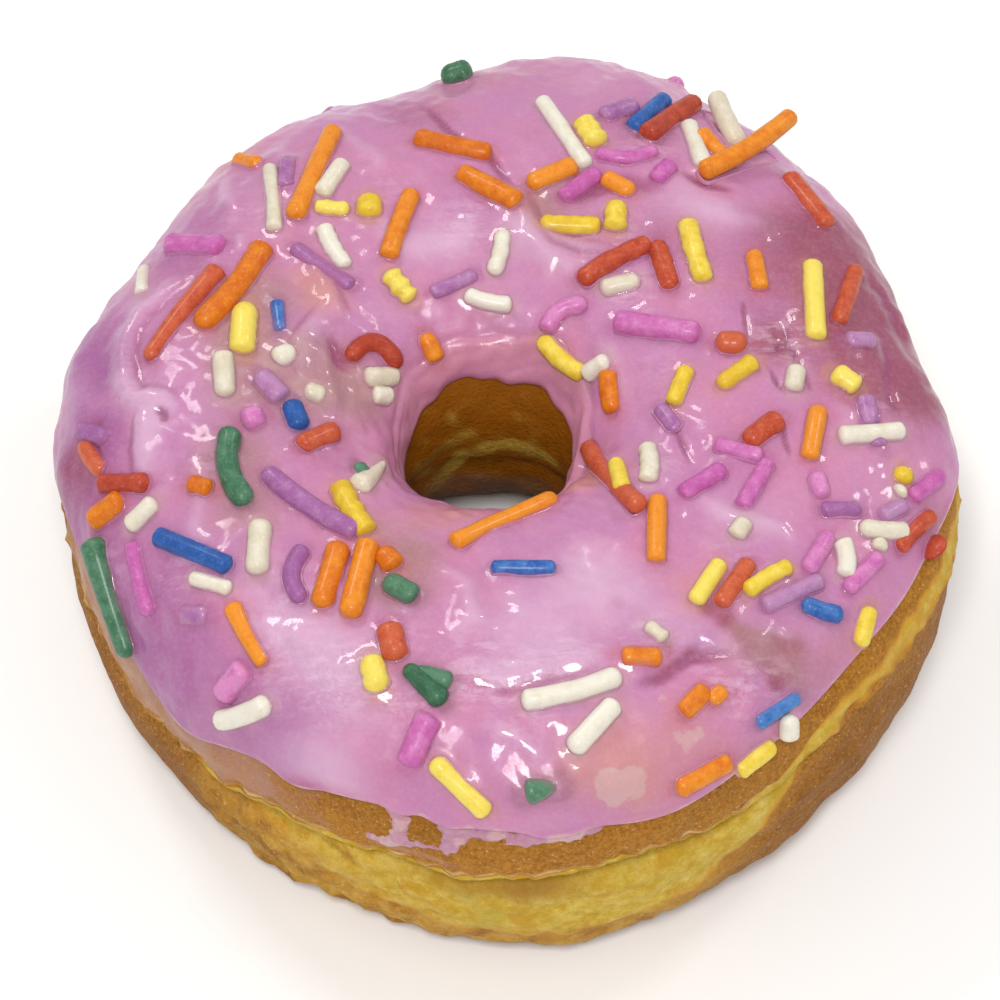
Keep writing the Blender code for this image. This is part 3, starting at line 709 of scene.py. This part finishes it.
def make_dough():
    """The fried dough, in place of its solid: crust_surface on a grid of directions and leans, closed
    both ways."""
    around = (np.arange(DOUGH_DIRECTIONS) * 360.0 / DOUGH_DIRECTIONS)[:, None]
    directions, leans = np.broadcast_arrays(around, dough_leans()[None, :])
    points, plain, _, outer, below, torn = crust_surface(directions, leans)
    values = side_values(directions, leans, plain, outer, below, torn)
    values.update(hole_values(directions, leans, plain))
    dough = closed_grid("fried_dough", points, values)
    dough.data.materials.append(crust_finish())
    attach(dough, "root")
    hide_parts("dough_ring")


# ---- icing -------------------------------------------------------------------------------------------

# Drips of the outer edge: direction, half width in degrees, and how far down in lean
DRIPS = (
    (257.0, 1.8, 2.0), (262.8, 2.2, 2.0), (243.0, 3.0, 3.0), (275.5, 3.5, 4.0), (226.0, 4.0, 1.5),
    (287.0, 5.0, 1.0),
)
ICING_DIRECTIONS = 630
UNDER_STRIDE = 19                        # the hidden underside takes one point in this many
ICING_THICKNESS = 1.25
ICING_WIDTH = 62.0                       # of the coat round the section, from edge to edge
EDGE_REACH = 1.3                         # width of its rounded edge
TUCK = 0.12                              # how far its edge and underside lie inside the dough


class IcingBase:
    """The icing before folds and sprinkles: points of the dough under it, outward normals, and distances
    in from its edge. Its coat is the thickness * a quarter circle at the edge * a slow rise over the next
    9 mm."""

    def __init__(self):
        self.directions = np.arange(ICING_DIRECTIONS) * 360.0 / ICING_DIRECTIONS
        ripple = waves(self.directions, EDGE_RIPPLES)
        start = 180.0 - between(self.directions, HOLE_EDGE) - waves(self.directions, HOLE_RIPPLES)
        drips = sum(size * np.exp(-np.abs(((self.directions - at + 180) % 360 - 180) / width) ** 2.6)
                    for at, width, size in DRIPS)
        end = between(self.directions, OUTER_EDGE) + ripple - drips
        # rows close together in the rounded margins, and even ones between them
        margin = np.array([0, 0.05, 0.14, 0.27, 0.45, 0.7, 1.0]) / ICING_WIDTH
        middle = np.linspace(EDGE_REACH / ICING_WIDTH, 1 - EDGE_REACH / ICING_WIDTH, 136)
        self.part = np.concatenate([margin, middle, 1 - margin[::-1]])
        self.leans = start[:, None] + (end - start)[:, None] * self.part[None, :]
        self.around = np.broadcast_to(self.directions[:, None], self.leans.shape)
        self.ground = dough_point(self.around, self.leans)
        self.normal = dough_normal(self.around, self.leans)
        inward = np.minimum(self.part, 1 - self.part)[None, :] * ICING_WIDTH
        self.inward = np.broadcast_to(inward, self.leans.shape)
        rounding = np.sqrt(np.clip(1 - (1 - np.clip(self.inward / EDGE_REACH, 0, 1)) ** 2, 0, 1))
        fullness = 0.60 + 0.40 * ease(0, 9, self.inward)
        self.coat = ICING_THICKNESS * rounding * fullness - TUCK * (1 - rounding)
        self.away = ease(0, 2.0, self.inward)

    def over(self, height):
        """The dough's points, each moved out along its normal by a height."""
        return self.ground + self.normal * height[..., None]


def fold_relief(points):
    """Ridges and creases: for each, height * exp(-(distance to its curve / width) squared), where the
    width differs between its two sides and the height fades at its ends. Returns their relief, a mask of
    painted shade in the creases and a mask of painted highlight on the ridges. The foot of a steep ridge
    gets painted shade too, with no crease in the relief."""
    x, y = points[..., 0] - AXIS_SHIFT[0], points[..., 1] - AXIS_SHIFT[1]
    total, crease_shade, ridge_highlight = np.zeros(x.shape), np.zeros(x.shape), np.zeros(x.shape)
    taper_along = 1 - np.abs(np.linspace(-1, 1, 40)) ** 3
    for height, left, right, stops in FOLDS:
        curve = along_line(stops, 40).T
        reach = 3 * max(left, right)
        near = ((x > curve[:, 0].min() - reach) & (x < curve[:, 0].max() + reach)
                & (y > curve[:, 1].min() - reach) & (y < curve[:, 1].max() + reach))
        offset = np.stack([x[near], y[near]], axis=-1)[:, None] - curve
        gaps = (offset ** 2).sum(axis=2)
        nearest = gaps.argmin(axis=1)
        gap, offset = gaps.min(axis=1), offset[np.arange(len(nearest)), nearest]
        ahead = unit(np.gradient(curve, axis=0))[nearest]
        side = ahead[:, 0] * offset[:, 1] - ahead[:, 1] * offset[:, 0]
        width = right + (left - right) * ease(-0.15, 0.15, side)
        taper = taper_along[nearest]
        form = np.exp(-gap / width ** 2) * taper
        total[near] += height * form
        if height < 0:
            crease_shade[near] = np.maximum(crease_shade[near], form)
            continue
        # painted highlight along each ridge, more on higher ones
        ridge_highlight[near] = np.maximum(ridge_highlight[near], form * min(1, height * 1.6))
        # the foot of a steep ridge gets painted shade only, not a crease in the relief
        sharp = min(left, right)
        if sharp < 0.7 * max(left, right):
            steep = ease(0, 0.3, side if left < right else -side)
            foot = np.exp(-((np.sqrt(gap) - 1.7 * sharp) / (0.8 * sharp)) ** 2) * steep * taper
            crease_shade[near] = np.maximum(crease_shade[near], 0.7 * foot)
    return total, crease_shade, ridge_highlight


def places(points, spots):
    """The sum of amount * exp(-(distance / radius) squared) over spots given as x, y, radius, amount."""
    x, y = points[..., 0] - AXIS_SHIFT[0], points[..., 1] - AXIS_SHIFT[1]
    return np.clip(sum(amount * np.exp(-((x - at_x) ** 2 + (y - at_y) ** 2) / radius ** 2)
                       for at_x, at_y, radius, amount in spots), 0, 1)


# ---- sprinkles ---------------------------------------------------------------------------------------

SPRINKLE_LOOKS = {
    "orange": ((0.68, 0.180, 0.004), (0.77, 0.265, 0.014), (0.52, 0.090, 0.003)),
    "red_orange": ((0.47, 0.060, 0.022), (0.56, 0.110, 0.040), (0.32, 0.028, 0.014)),
    "yellow": ((0.75, 0.53, 0.035), (0.82, 0.66, 0.110), (0.64, 0.38, 0.020)),
    "cream": ((0.70, 0.635, 0.50), (0.77, 0.73, 0.63), (0.60, 0.52, 0.38)),
    "pink": ((0.54, 0.130, 0.39), (0.63, 0.23, 0.47), (0.43, 0.070, 0.30)),
    "purple": ((0.35, 0.125, 0.33), (0.45, 0.22, 0.41), (0.28, 0.080, 0.25)),
    "blue": ((0.022, 0.105, 0.38), (0.070, 0.20, 0.49), (0.012, 0.065, 0.25)),
    "green": ((0.040, 0.140, 0.070), (0.085, 0.21, 0.12), (0.020, 0.075, 0.040)),
}
AXIS_STEPS, SIDES = 20, 12


class Sprinkles:
    """All sprinkles as arrays: bent axes with their directions across and up, girth, and how far each is
    sunk. An axis is a straight line through the icing's points under it, lifted by radius * (0.20 - 1.15
    * sunk) and moved sideways by bend * a parabola. Its ends are blunt by a random share of the
    radius."""

    def __init__(self, base, height):
        rows = [(colour, row) for colour, group in SPRINKLES.items() for row in group]
        rows += hidden_sprinkles()
        self.colour = np.array([colour for colour, row in rows])
        table = np.array([row + (0.0,) * (10 - len(row)) for colour, row in rows], float)
        self.count = len(table)
        self.radius, bend, self.sunk = table[:, 4] * 0.51, table[:, 5], table[:, 6]
        self.lumps, self.taper = table[:, 7], table[:, 8]
        surface = base.over(height)
        share = np.linspace(0.06, 0.94, 5)
        first, last = table[:, :2] + AXIS_SHIFT, table[:, 2:4] + AXIS_SHIFT
        queries = first[:, None] + (last - first)[:, None] * share[None, :, None]
        upward = base.normal[..., 2] > 0.02
        flat, normals = surface[upward], base.normal[upward]
        hits = np.array([np.argmin(((flat[:, :2] - q) ** 2).sum(axis=1)) for q in queries.reshape(-1, 2)])
        on = flat[hits].reshape(self.count, 5, 3)
        up = unit(normals[hits].reshape(self.count, 5, 3).mean(axis=1))
        stand = up * table[:, 9:]
        middle, slope = on.mean(axis=1) + stand / 2, (on[:, -1] - on[:, 0]) / (share[-1] - share[0]) + stand
        self.length = np.linalg.norm(slope, axis=1)
        self.lift = self.radius * (0.20 - 1.15 * self.sunk)
        along = np.linspace(-0.5, 0.5, AXIS_STEPS + 1)[None, :, None]
        bow = (1 - 4 * along ** 2) - 2.0 / 3
        self.axis = (middle[:, None] + slope[:, None] * along + (up * self.lift[:, None])[:, None]
                     + (np.cross(unit(slope), up) * bend[:, None])[:, None] * bow)
        heading = unit(np.gradient(self.axis, axis=1))
        self.across = unit(np.cross(heading, up[:, None]))
        self.up = np.cross(self.across, heading)
        chance = np.random.default_rng(5)
        self.blunt = np.minimum(chance.uniform(0.42, 0.85, (self.count, 2)) * self.radius[:, None],
                                0.42 * self.length[:, None])
        self.wobble = chance.uniform(0, 2 * np.pi, (self.count, 3, 1))
        self.tone = chance.uniform(0, 1, self.count)

    def frame(self, chosen, along):
        """The axis point and the directions across and up at distances along the chosen sprinkles."""
        steps = np.clip((along / self.length[chosen][:, None] + 0.5) * AXIS_STEPS, 0, AXIS_STEPS - 0.001)
        low = np.floor(steps).astype(int)
        part = (steps - low)[..., None]
        rows = np.arange(len(chosen))[:, None]
        return [values[chosen][rows, low] * (1 - part) + values[chosen][rows, low + 1] * part
                for values in (self.axis, self.across, self.up)]

    def girth(self, chosen, along):
        """radius * (1 + slight waves + lumps) * (1 - taper towards the second end)"""
        wobble, lumps, taper = self.wobble[chosen], self.lumps[chosen][:, None], self.taper[chosen][:, None]
        waviness = (1 + 0.025 * np.sin(along * 0.9 + wobble[:, 0])
                    + 0.012 * np.sin(along * 2.3 + wobble[:, 1])
                    + lumps * np.sin(along * 4.4 + wobble[:, 2]))
        share = along / self.length[chosen][:, None] + 0.5
        return self.radius[chosen][:, None] * waviness * (1 - taper * share)


def unit(vectors):
    """The same directions, one long."""
    return vectors / np.linalg.norm(vectors, axis=-1, keepdims=True)


HIDDEN_SPRINKLES = (("pink", 70, 10.5), ("orange", 79, 9.5), ("pink", 97, 11.5), ("purple", 117, 10.5),
                    ("cream", 107, 11))


def hidden_sprinkles():
    """Rows for a few more on the far flank, each across its direction and lean, with random lengths."""
    chance = np.random.default_rng(12)
    rows = []
    for colour, direction, lean in HIDDEN_SPRINKLES:
        turn = chance.uniform(2, 4)
        first, last = dough_point(direction - turn, lean), dough_point(direction + turn, lean)
        rows.append((colour, (first[0] - AXIS_SHIFT[0], first[1] - AXIS_SHIFT[1], last[0] - AXIS_SHIFT[0],
                              last[1] - AXIS_SHIFT[1], chance.uniform(1.9, 2.1), 0.0, 0.42)))
    return rows


def lap(base, height, sprinkles):
    """The icing drawn up against each sprinkle, draped over sunk ones, and the colour that bleeds from
    them, darkened as painted contact shade round each. Each is a sum of exponentials in the distance
    from the sprinkle's skin; the drape is exp(-distance squared) from its axis. Returns the rise, and
    the bled colour with its painted shade and their strength."""
    points = base.over(height)
    flat = points.reshape(-1, 3)
    rise = np.zeros(len(flat))
    stain_and_shade = np.zeros((len(flat), 4))
    for k in range(sprinkles.count):
        axis, radius, sunk = sprinkles.axis[k], sprinkles.radius[k], sprinkles.sunk[k]
        middle = axis.mean(axis=0)
        near = np.nonzero(((flat - middle) ** 2).sum(axis=1) < (sprinkles.length[k] / 2 + 4.5) ** 2)[0]
        gap = np.sqrt(((flat[near][:, None] - axis[None, 1:-1]) ** 2).sum(axis=2).min(axis=1))
        beyond = np.clip(gap - radius * 0.9, 0, None)
        meniscus = 0.10 * np.exp(-beyond / 0.5) - 0.05 * np.exp(-((beyond - 1.3) / 0.7) ** 2)
        drape = np.clip(1.9 * sunk - 0.25, 0, 1.0) * (radius * 0.9) * np.exp(-(gap / (radius * 1.25)) ** 2)
        rise[near] = np.where(np.abs(meniscus) > np.abs(rise[near]), meniscus, rise[near])
        rise[near] = np.maximum(rise[near], drape)
        # bled colour and painted contact shade, strongest at the sprinkle's skin
        bleed_and_shade = 0.36 * np.exp(-beyond / 0.30) + 0.11 * np.exp(-beyond / 1.1)
        stronger = bleed_and_shade > stain_and_shade[near, 3]
        chosen = near[stronger]
        main = SPRINKLE_LOOKS[sprinkles.colour[k]][2]
        # a dark mix of the sprinkle's darkest colour and plum, for the painted contact shade
        stain_and_shade[chosen, :3] = 0.45 * np.array(main) + 0.55 * np.array((0.40, 0.12, 0.22))
        stain_and_shade[chosen, 3] = bleed_and_shade[stronger]
    return rise.reshape(height.shape), stain_and_shade.reshape(*height.shape, 4)


def make_sprinkles(surface, normals, sprinkles):
    """Each sprinkle: rings along its bent axis, of its girth * the cosine of a cap's angle at the ends,
    where the rings follow the angle's sine. Those of one colour are joined into one piece."""
    chance = np.random.default_rng(6)
    cap = np.radians(np.array([0, 24, 48, 70]))
    for colour, looks in SPRINKLE_LOOKS.items():
        chosen = np.nonzero(sprinkles.colour == colour)[0]
        count = len(chosen)
        half, blunt = sprinkles.length[chosen][:, None] / 2, sprinkles.blunt[chosen]
        near_end = -half + blunt[:, :1] * (1 - np.sin(cap[::-1]))[None, :]
        far_end = half - blunt[:, 1:] * (1 - np.sin(cap))[None, :]
        inner = np.linspace(0, 1, 8)[None, 1:-1]
        body = near_end[:, -1:] + (far_end[:, :1] - near_end[:, -1:]) * inner
        along = np.concatenate([near_end, body, far_end], axis=1)
        rounding = np.concatenate([np.cos(cap[::-1]), np.ones(6), np.cos(cap)])[None, :]
        girth = sprinkles.girth(chosen, along) * rounding
        centre, across, up = sprinkles.frame(chosen, along)
        turn = np.linspace(0, 2 * np.pi, SIDES, endpoint=False)[None, None, :, None]
        ring = np.cos(turn) * across[:, :, None] + np.sin(turn) * up[:, :, None]
        uneven = 1 + 0.015 * chance.normal(size=(count, along.shape[1], SIDES))
        points = centre[:, :, None] + ring * (girth[:, :, None] * uneven)[..., None]
        tips = np.stack([sprinkles.axis[chosen][:, 0], sprinkles.axis[chosen][:, -1]], axis=1)
        stations = along.shape[1]
        per = stations * SIDES + 2
        vertices = np.concatenate([points.reshape(count, -1, 3), tips], axis=1)
        station, side = np.meshgrid(np.arange(stations - 1), np.arange(SIDES), indexing="ij")
        here, beside = station * SIDES + side, station * SIDES + (side + 1) % SIDES
        quads = np.stack([here, here + SIDES, beside + SIDES, beside], axis=-1).reshape(-1, 4)
        side = np.arange(SIDES)
        last = (stations - 1) * SIDES
        near_fan = np.stack([np.full(SIDES, per - 2), side, (side + 1) % SIDES], axis=-1)
        far_fan = np.stack([np.full(SIDES, per - 1), last + (side + 1) % SIDES, last + side], axis=-1)
        offset = (np.arange(count) * per)[:, None, None]
        quads = (quads[None] + offset).reshape(-1, 4)
        fans = (np.concatenate([near_fan, far_fan])[None] + offset).reshape(-1, 3)
        everything = vertices.reshape(-1, 3)
        depth = above_icing(everything, surface, normals)[0]
        values = {"tone": np.repeat(sprinkles.tone[chosen], per), "lapped": ease(0.65, 0.0, depth)}
        piece = new_mesh("sprinkles_" + colour, everything, quads, values, fans)
        piece.data.materials.append(sprinkle_finish(colour, *looks))
        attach(piece, "root")


BATCH, NEAR = 150, 2.5                   # points worked out at once, and how far round them icing counts
ICING_BLEND = 0.16                       # square millimetres


def above_icing(points, surface, normals):
    """Height of each point above the icing beside it, and the index of the icing's nearest vertex. The
    height is the mean, weighted by exp(-distance squared / ICING_BLEND), of the distances along the
    normals."""
    height, nearest = np.zeros(len(points)), np.zeros(len(points), int)
    for start in range(0, len(points), BATCH):
        some = points[start:start + BATCH]
        low, high = some.min(axis=0) - NEAR, some.max(axis=0) + NEAR
        near = np.nonzero(((surface > low) & (surface < high)).all(axis=1))[0]
        offset = some[:, None] - surface[near][None]
        gaps = (offset ** 2).sum(axis=2)
        hit = gaps.argmin(axis=1)
        weight = np.exp(-(gaps - gaps.min(axis=1, keepdims=True)) / ICING_BLEND)
        lifted = (offset * normals[near[hit]][:, None]).sum(axis=2)
        height[start:start + BATCH] = (lifted * weight).sum(axis=1) / weight.sum(axis=1)
        nearest[start:start + BATCH] = near[hit]
    return height, nearest


# The icing that climbs a sprinkle, across its width: distance from the sprinkle and height above the icing
FILLET = (
    (-0.20, 0.10), (-0.03, 0.17), (0.03, 0.13), (0.08, 0.05), (0.13, -0.02), (0.20, -0.12), (0.18, -0.30),
    (-0.20, -0.28),
)
FILLET_CAP, FILLET_SIDE = 11, 8          # stations round each end, and along each side


def waterline(sprinkles, chosen):
    """The line where each chosen sprinkle leaves the icing, two straight sides and two half ellipses, its
    directions away from the sprinkle, and how many stations it has."""
    half, blunt = sprinkles.length[chosen][:, None] / 2, sprinkles.blunt[chosen]
    shrink = np.sqrt(1 - (sprinkles.lift / sprinkles.radius)[chosen] ** 2)[:, None]
    turn = np.linspace(-np.pi / 2, np.pi / 2, FILLET_CAP)[None, :]
    side = np.linspace(0, 1, FILLET_SIDE + 2)[None, 1:-1]
    far, near = half - blunt[:, 1:], half - blunt[:, :1]
    straight = far - (far + near) * side
    along = np.concatenate([far + blunt[:, 1:] * shrink * np.cos(turn), straight,
                            -near - blunt[:, :1] * shrink * np.cos(turn), straight[:, ::-1]], axis=1)
    ones = np.ones_like(side)
    sideways = np.concatenate([np.sin(turn), ones, -np.sin(turn), -ones], axis=1)
    outwards = np.concatenate([np.cos(turn), 0 * ones, -np.cos(turn), 0 * ones], axis=1)
    centre, across, up = sprinkles.frame(chosen, along)
    heading = np.cross(up, across)
    width = sprinkles.girth(chosen, np.clip(along, -near, far)) * shrink
    line = centre + across * (sideways * width)[..., None] - up * sprinkles.lift[chosen][:, None, None]
    away = unit(across * sideways[..., None] + heading * outwards[..., None])
    return line.reshape(-1, 3), away.reshape(-1, 3), along.shape[1]


def make_fillets(surface, normals, sprinkles, values):
    """A low ring of icing round every sprinkle that stands in it: the FILLET profile carried round its
    waterline, higher and lower by ripples, with the icing's own colours."""
    stands = (sprinkles.lift > -0.1 * sprinkles.radius) & (sprinkles.lift < 0.8 * sprinkles.radius)
    chosen = np.nonzero(stands)[0]
    line, away, stations = waterline(sprinkles, chosen)
    height, nearest = above_icing(line, surface, normals)
    rise = normals[nearest]
    line = line - rise * height[:, None]
    level = (1 + 0.45 * ripples(line, 2.6, 31))[:, None]
    distance, climb = np.array(FILLET).T
    upward = np.where(climb > 0, climb * np.clip(level, 0.35, 1.6), climb)
    points = line[:, None] + away[:, None] * distance[None, :, None] + rise[:, None] * upward[..., None]
    count, across = len(chosen), len(FILLET)
    index = np.arange(count * stations * across).reshape(count, stations, across)
    ahead, beside = np.roll(index, -1, axis=1), np.roll(index, -1, axis=2)
    quads = np.stack([index, ahead, np.roll(ahead, -1, axis=2), beside], axis=-1).reshape(-1, 4)
    picked = {key: np.repeat(value.reshape(surface.shape[0], -1)[nearest], across, axis=0).squeeze()
              for key, value in values.items()}
    piece = new_mesh("icing_fillets", points.reshape(-1, 3), quads, picked)
    piece.data.materials.append(bpy.data.materials["icing_look"])
    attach(piece, "root")


# Thin glaze run down the crust: half width and thickness, and the direction and lean of its points
GLAZE_RUNS = (
    (0.85, 0.30, ((256.2, 29), (257.2, 24), (257.4, 18), (256.8, 13), (255.6, 10.5))),
    (0.95, 0.32, ((262.2, 29), (263, 25), (263.3, 21), (263, 18.5))),
    (0.42, 0.13, ((253.8, 10.5), (256.5, 11), (259, 12.6), (261.5, 15.5))),
    (0.75, 0.26, ((264.5, 25), (269, 25), (273, 23.6), (277, 23.6), (280, 25.5))),
)


GLAZE_DIRECTIONS, GLAZE_LEANS = (251, 284, 190), (37, 7, 96)       # first, last and count
FLANK_MM_PER_DEGREE = (0.79, 0.27)       # of direction and of lean, on the upper flank


def make_glaze_runs():
    """A slab over the crust whose top stands above it only in the runs: thickness * (1.5 * form - 0.5),
    where form is 1 on a run's line and falls off as exp(-(distance / width) ** 4)."""
    directions, leans = np.broadcast_arrays(np.linspace(*GLAZE_DIRECTIONS)[:, None],
                                            np.linspace(*GLAZE_LEANS)[None, :])
    ground, plain, normal = crust_surface(directions, leans)[:3]
    run, drop = directions * FLANK_MM_PER_DEGREE[0], leans * FLANK_MM_PER_DEGREE[1]
    wander = 0.20 * ripples(plain, 1.7, 41) + 0.10 * ripples(plain, 0.8, 42)
    top = np.full(run.shape, -0.2)
    for width, thick, line in GLAZE_RUNS:
        on_flank = along_line(np.asarray(line, float) * FLANK_MM_PER_DEGREE, 30)
        gap = np.clip(np.sqrt(min_gap(run, drop, *on_flank)) + wander, 0, None)
        top = np.maximum(top, thick * (1.5 * np.exp(-(gap / width) ** 4) - 0.5))
    rows = np.concatenate([ground + normal * top[..., None], (ground - normal * 0.5)[:, ::-1]], axis=1)
    count, across = rows.shape[:2]
    index = np.arange(count * across).reshape(count, across)
    here, ahead = index[:-1], index[1:]
    sides = np.stack([here, np.roll(here, -1, axis=1), np.roll(ahead, -1, axis=1), ahead], axis=-1)
    half = across // 2
    first, back = index[0, :half], index[0, ::-1][:half]
    start = np.stack([first[:-1], back[:-1], back[1:], first[1:]], axis=-1)
    quads = np.concatenate([sides.reshape(-1, 4), start, start[:, ::-1] + (count - 1) * across])
    values = {"veil": np.full(count * across, 0.46), "tan": np.full(count * across, 0.62),
              "wrinkled": np.full(count * across, 0.4), "stain_and_shade": np.zeros((count * across, 4))}
    piece = new_mesh("glaze_runs", rows.reshape(-1, 3), quads, values)
    piece.data.materials.append(bpy.data.materials["icing_look"])
    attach(piece, "root")


def icing_values(base, plain, crease_shade, ridge_highlight, collar, drag, edge_line, near_rim):
    """What the finish reads on the icing, from 0 to 1: the colour places, partly painted shade in the
    rose ones, its rim, painted shade in its creases, painted highlight on its ridges, and its veil."""
    in_hole = 0.6 * ease(2.0, 0.1, base.inward) * (base.part > 0.5)
    return {"tan": places(plain, TAN_PLACES), "rose": places(plain, ROSE_PLACES),
            "salmon": places(plain, SALMON_PLACES), "purple": places(plain, PURPLE_PLACES),
            # pale also carries painted highlight along the fold ridges
            "pale": np.clip(places(plain, PALE_PLACES) + 0.9 * ridge_highlight + 0.9 * near_rim, 0, 1),
            "wrinkled": places(plain, WRINKLED_PLACES),
            "rim": np.clip(collar * (0.85 + 0.20 * drag) + 0.3 * edge_line - 0.8 * near_rim, 0, 1),
            # painted shade along the collar's edge line is added to the painted shade of the creases
            "crease_shade": np.clip(crease_shade + 0.5 * edge_line, 0, 1),
            "veil": np.maximum(places(plain, VEIL_PLACES), in_hole)}


def make_icing_and_sprinkles():
    """The icing, in place of its solid: coat + ripples + folds + a collar round the hole + what the
    sprinkles draw up, closed by an underside inside the dough. Then all that stands in it or runs from
    it."""
    base = IcingBase()
    plain = base.over(base.coat)
    relief, crease_shade, ridge_highlight = fold_relief(plain)
    height = base.coat + base.away * (0.13 * ripples(plain, 10, 21) + 0.12 * ripples(plain, 4.5, 22)
                                      + 0.05 * ripples(plain, 2.0, 23) + relief)
    # the collar is about 6 mm wide, drawn down into the hole in fine streaks, and bulges at the right
    depth = base.part[None, :] * ICING_WIDTH + 0.6 * np.cos(np.radians(3 * base.around + 40))
    collar = ease(6.4, 5.2, depth)
    run = np.radians(base.around) * 9.0
    drag = ripples(np.stack([depth + 0.22 * run, 0.10 * run, 0 * run], axis=-1), 1.0, 24)
    edge_line = np.exp(-((depth - 6.3) / 0.45) ** 2)
    bulge = 0.8 * np.exp(-(((base.around + 190) % 360 - 180) / 30.0) ** 2)
    near_rim = collar * np.exp(-((base.around - 240) / 60.0) ** 2)
    height = height + (collar * (0.14 + 0.03 * drag + bulge) - 0.18 * edge_line) * base.away
    sprinkles = Sprinkles(base, height)
    rise, stain_and_shade = lap(base, height, sprinkles)
    height = height + rise * base.away
    over = base.over(height)
    below = slice(-1 - UNDER_STRIDE, None, -UNDER_STRIDE)
    under = base.over(np.full_like(height, -TUCK))[:, below]
    values = icing_values(base, plain, crease_shade, ridge_highlight, collar, drag, edge_line, near_rim)
    values["stain_and_shade"] = stain_and_shade
    doubled = {key: np.concatenate([value, value[:, below]], axis=1) for key, value in values.items()}
    icing = closed_grid("lilac_icing", np.concatenate([over, under], axis=1), doubled)
    icing.data.materials.append(icing_finish())
    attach(icing, "root")
    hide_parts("icing")
    surface, normals = over.reshape(-1, 3), base.normal.reshape(-1, 3)
    make_sprinkles(surface, normals, sprinkles)
    make_fillets(surface, normals, sprinkles, values)
    make_glaze_runs()


# ---- floor, light and camera -------------------------------------------------------------------------

FLOOR_HALF, FLOOR_DROP = 1.5, 0.0001     # metres
CAMERA_ELEVATION, CAMERA_DISTANCE, CAMERA_LENS = 55.0, 420.0, 149.7


def make_floor():
    """A pale square just under the dough."""
    corners = [(x * FLOOR_HALF, y * FLOOR_HALF, -FLOOR_DROP)
               for x, y in ((-1, -1), (1, -1), (1, 1), (-1, 1))]
    mesh = bpy.data.meshes.new("floor")
    mesh.from_pydata(corners, [], [(0, 1, 2, 3)])
    floor = bpy.data.objects.new("floor", mesh)
    bpy.context.scene.collection.objects.link(floor)
    finish = Finish("floor_look", Roughness=0.9, Specular_IOR_Level=0.1)
    finish.feed(Base_Color=(0.93, 0.93, 0.93, 1.0))
    mesh.materials.append(finish.material)


def area_light(name, place, size, watts, colour):
    """A square lamp at a place in metres that looks at the middle of the doughnut."""
    light = bpy.data.lights.new(name, "AREA")
    light.shape, light.size, light.energy, light.color = "SQUARE", size, watts, colour
    lamp = bpy.data.objects.new(name, light)
    lamp.matrix_world = facing(Vector(place), Vector((0, 0, 0.02)))
    bpy.context.scene.collection.objects.link(lamp)


def facing(place, target):
    """The placement of something at place that looks at target along its own -Z, with +Y up."""
    turn = (target - place).to_track_quat("-Z", "Y")
    return Matrix.Translation(place) @ turn.to_matrix().to_4x4()


def make_lights():
    """Even light from all round, and three soft lamps whose reflections give the icing its gloss."""
    world = bpy.data.worlds.new("studio")
    world.use_nodes = True
    world.node_tree.nodes["Background"].inputs["Color"].default_value = (0.97, 0.98, 1.0, 1.0)
    world.node_tree.nodes["Background"].inputs["Strength"].default_value = 0.51
    bpy.context.scene.world = world
    area_light("key", (-0.30, 0.42, 0.62), 0.17, 1.4, (1.0, 0.98, 0.95))
    area_light("side", (0.45, 0.30, 0.50), 0.11, 0.7, (1.0, 0.99, 0.97))
    area_light("front", (-0.03, -0.38, 0.72), 0.19, 3.7, (1.0, 0.98, 0.95))


def make_camera():
    """Looks down at the front from CAMERA_ELEVATION, aimed a little left of and below the ring's middle."""
    data = bpy.data.cameras.new("camera")
    data.lens, data.sensor_width = CAMERA_LENS, 36.0
    data.clip_start, data.clip_end = 0.01, 20.0
    camera = bpy.data.objects.new("camera", data)
    turn = np.radians(CAMERA_ELEVATION)
    back = np.array([0, -np.cos(turn), np.sin(turn)])
    upward = np.array([0, np.sin(turn), np.cos(turn)])
    aim = np.array([AXIS_SHIFT[0] - 0.83, AXIS_SHIFT[1], 16.0]) - 1.5 * upward
    camera.matrix_world = facing(Vector((aim + back * CAMERA_DISTANCE) * MM), Vector(aim * MM))
    bpy.context.scene.collection.objects.link(camera)
    bpy.context.scene.camera = camera


def main():
    """Builds everything."""
    make_camera()
    make_lights()
    make_floor()
    make_dough()
    make_icing_and_sprinkles()
    bpy.context.scene.view_settings.view_transform = "Standard"
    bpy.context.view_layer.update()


main()
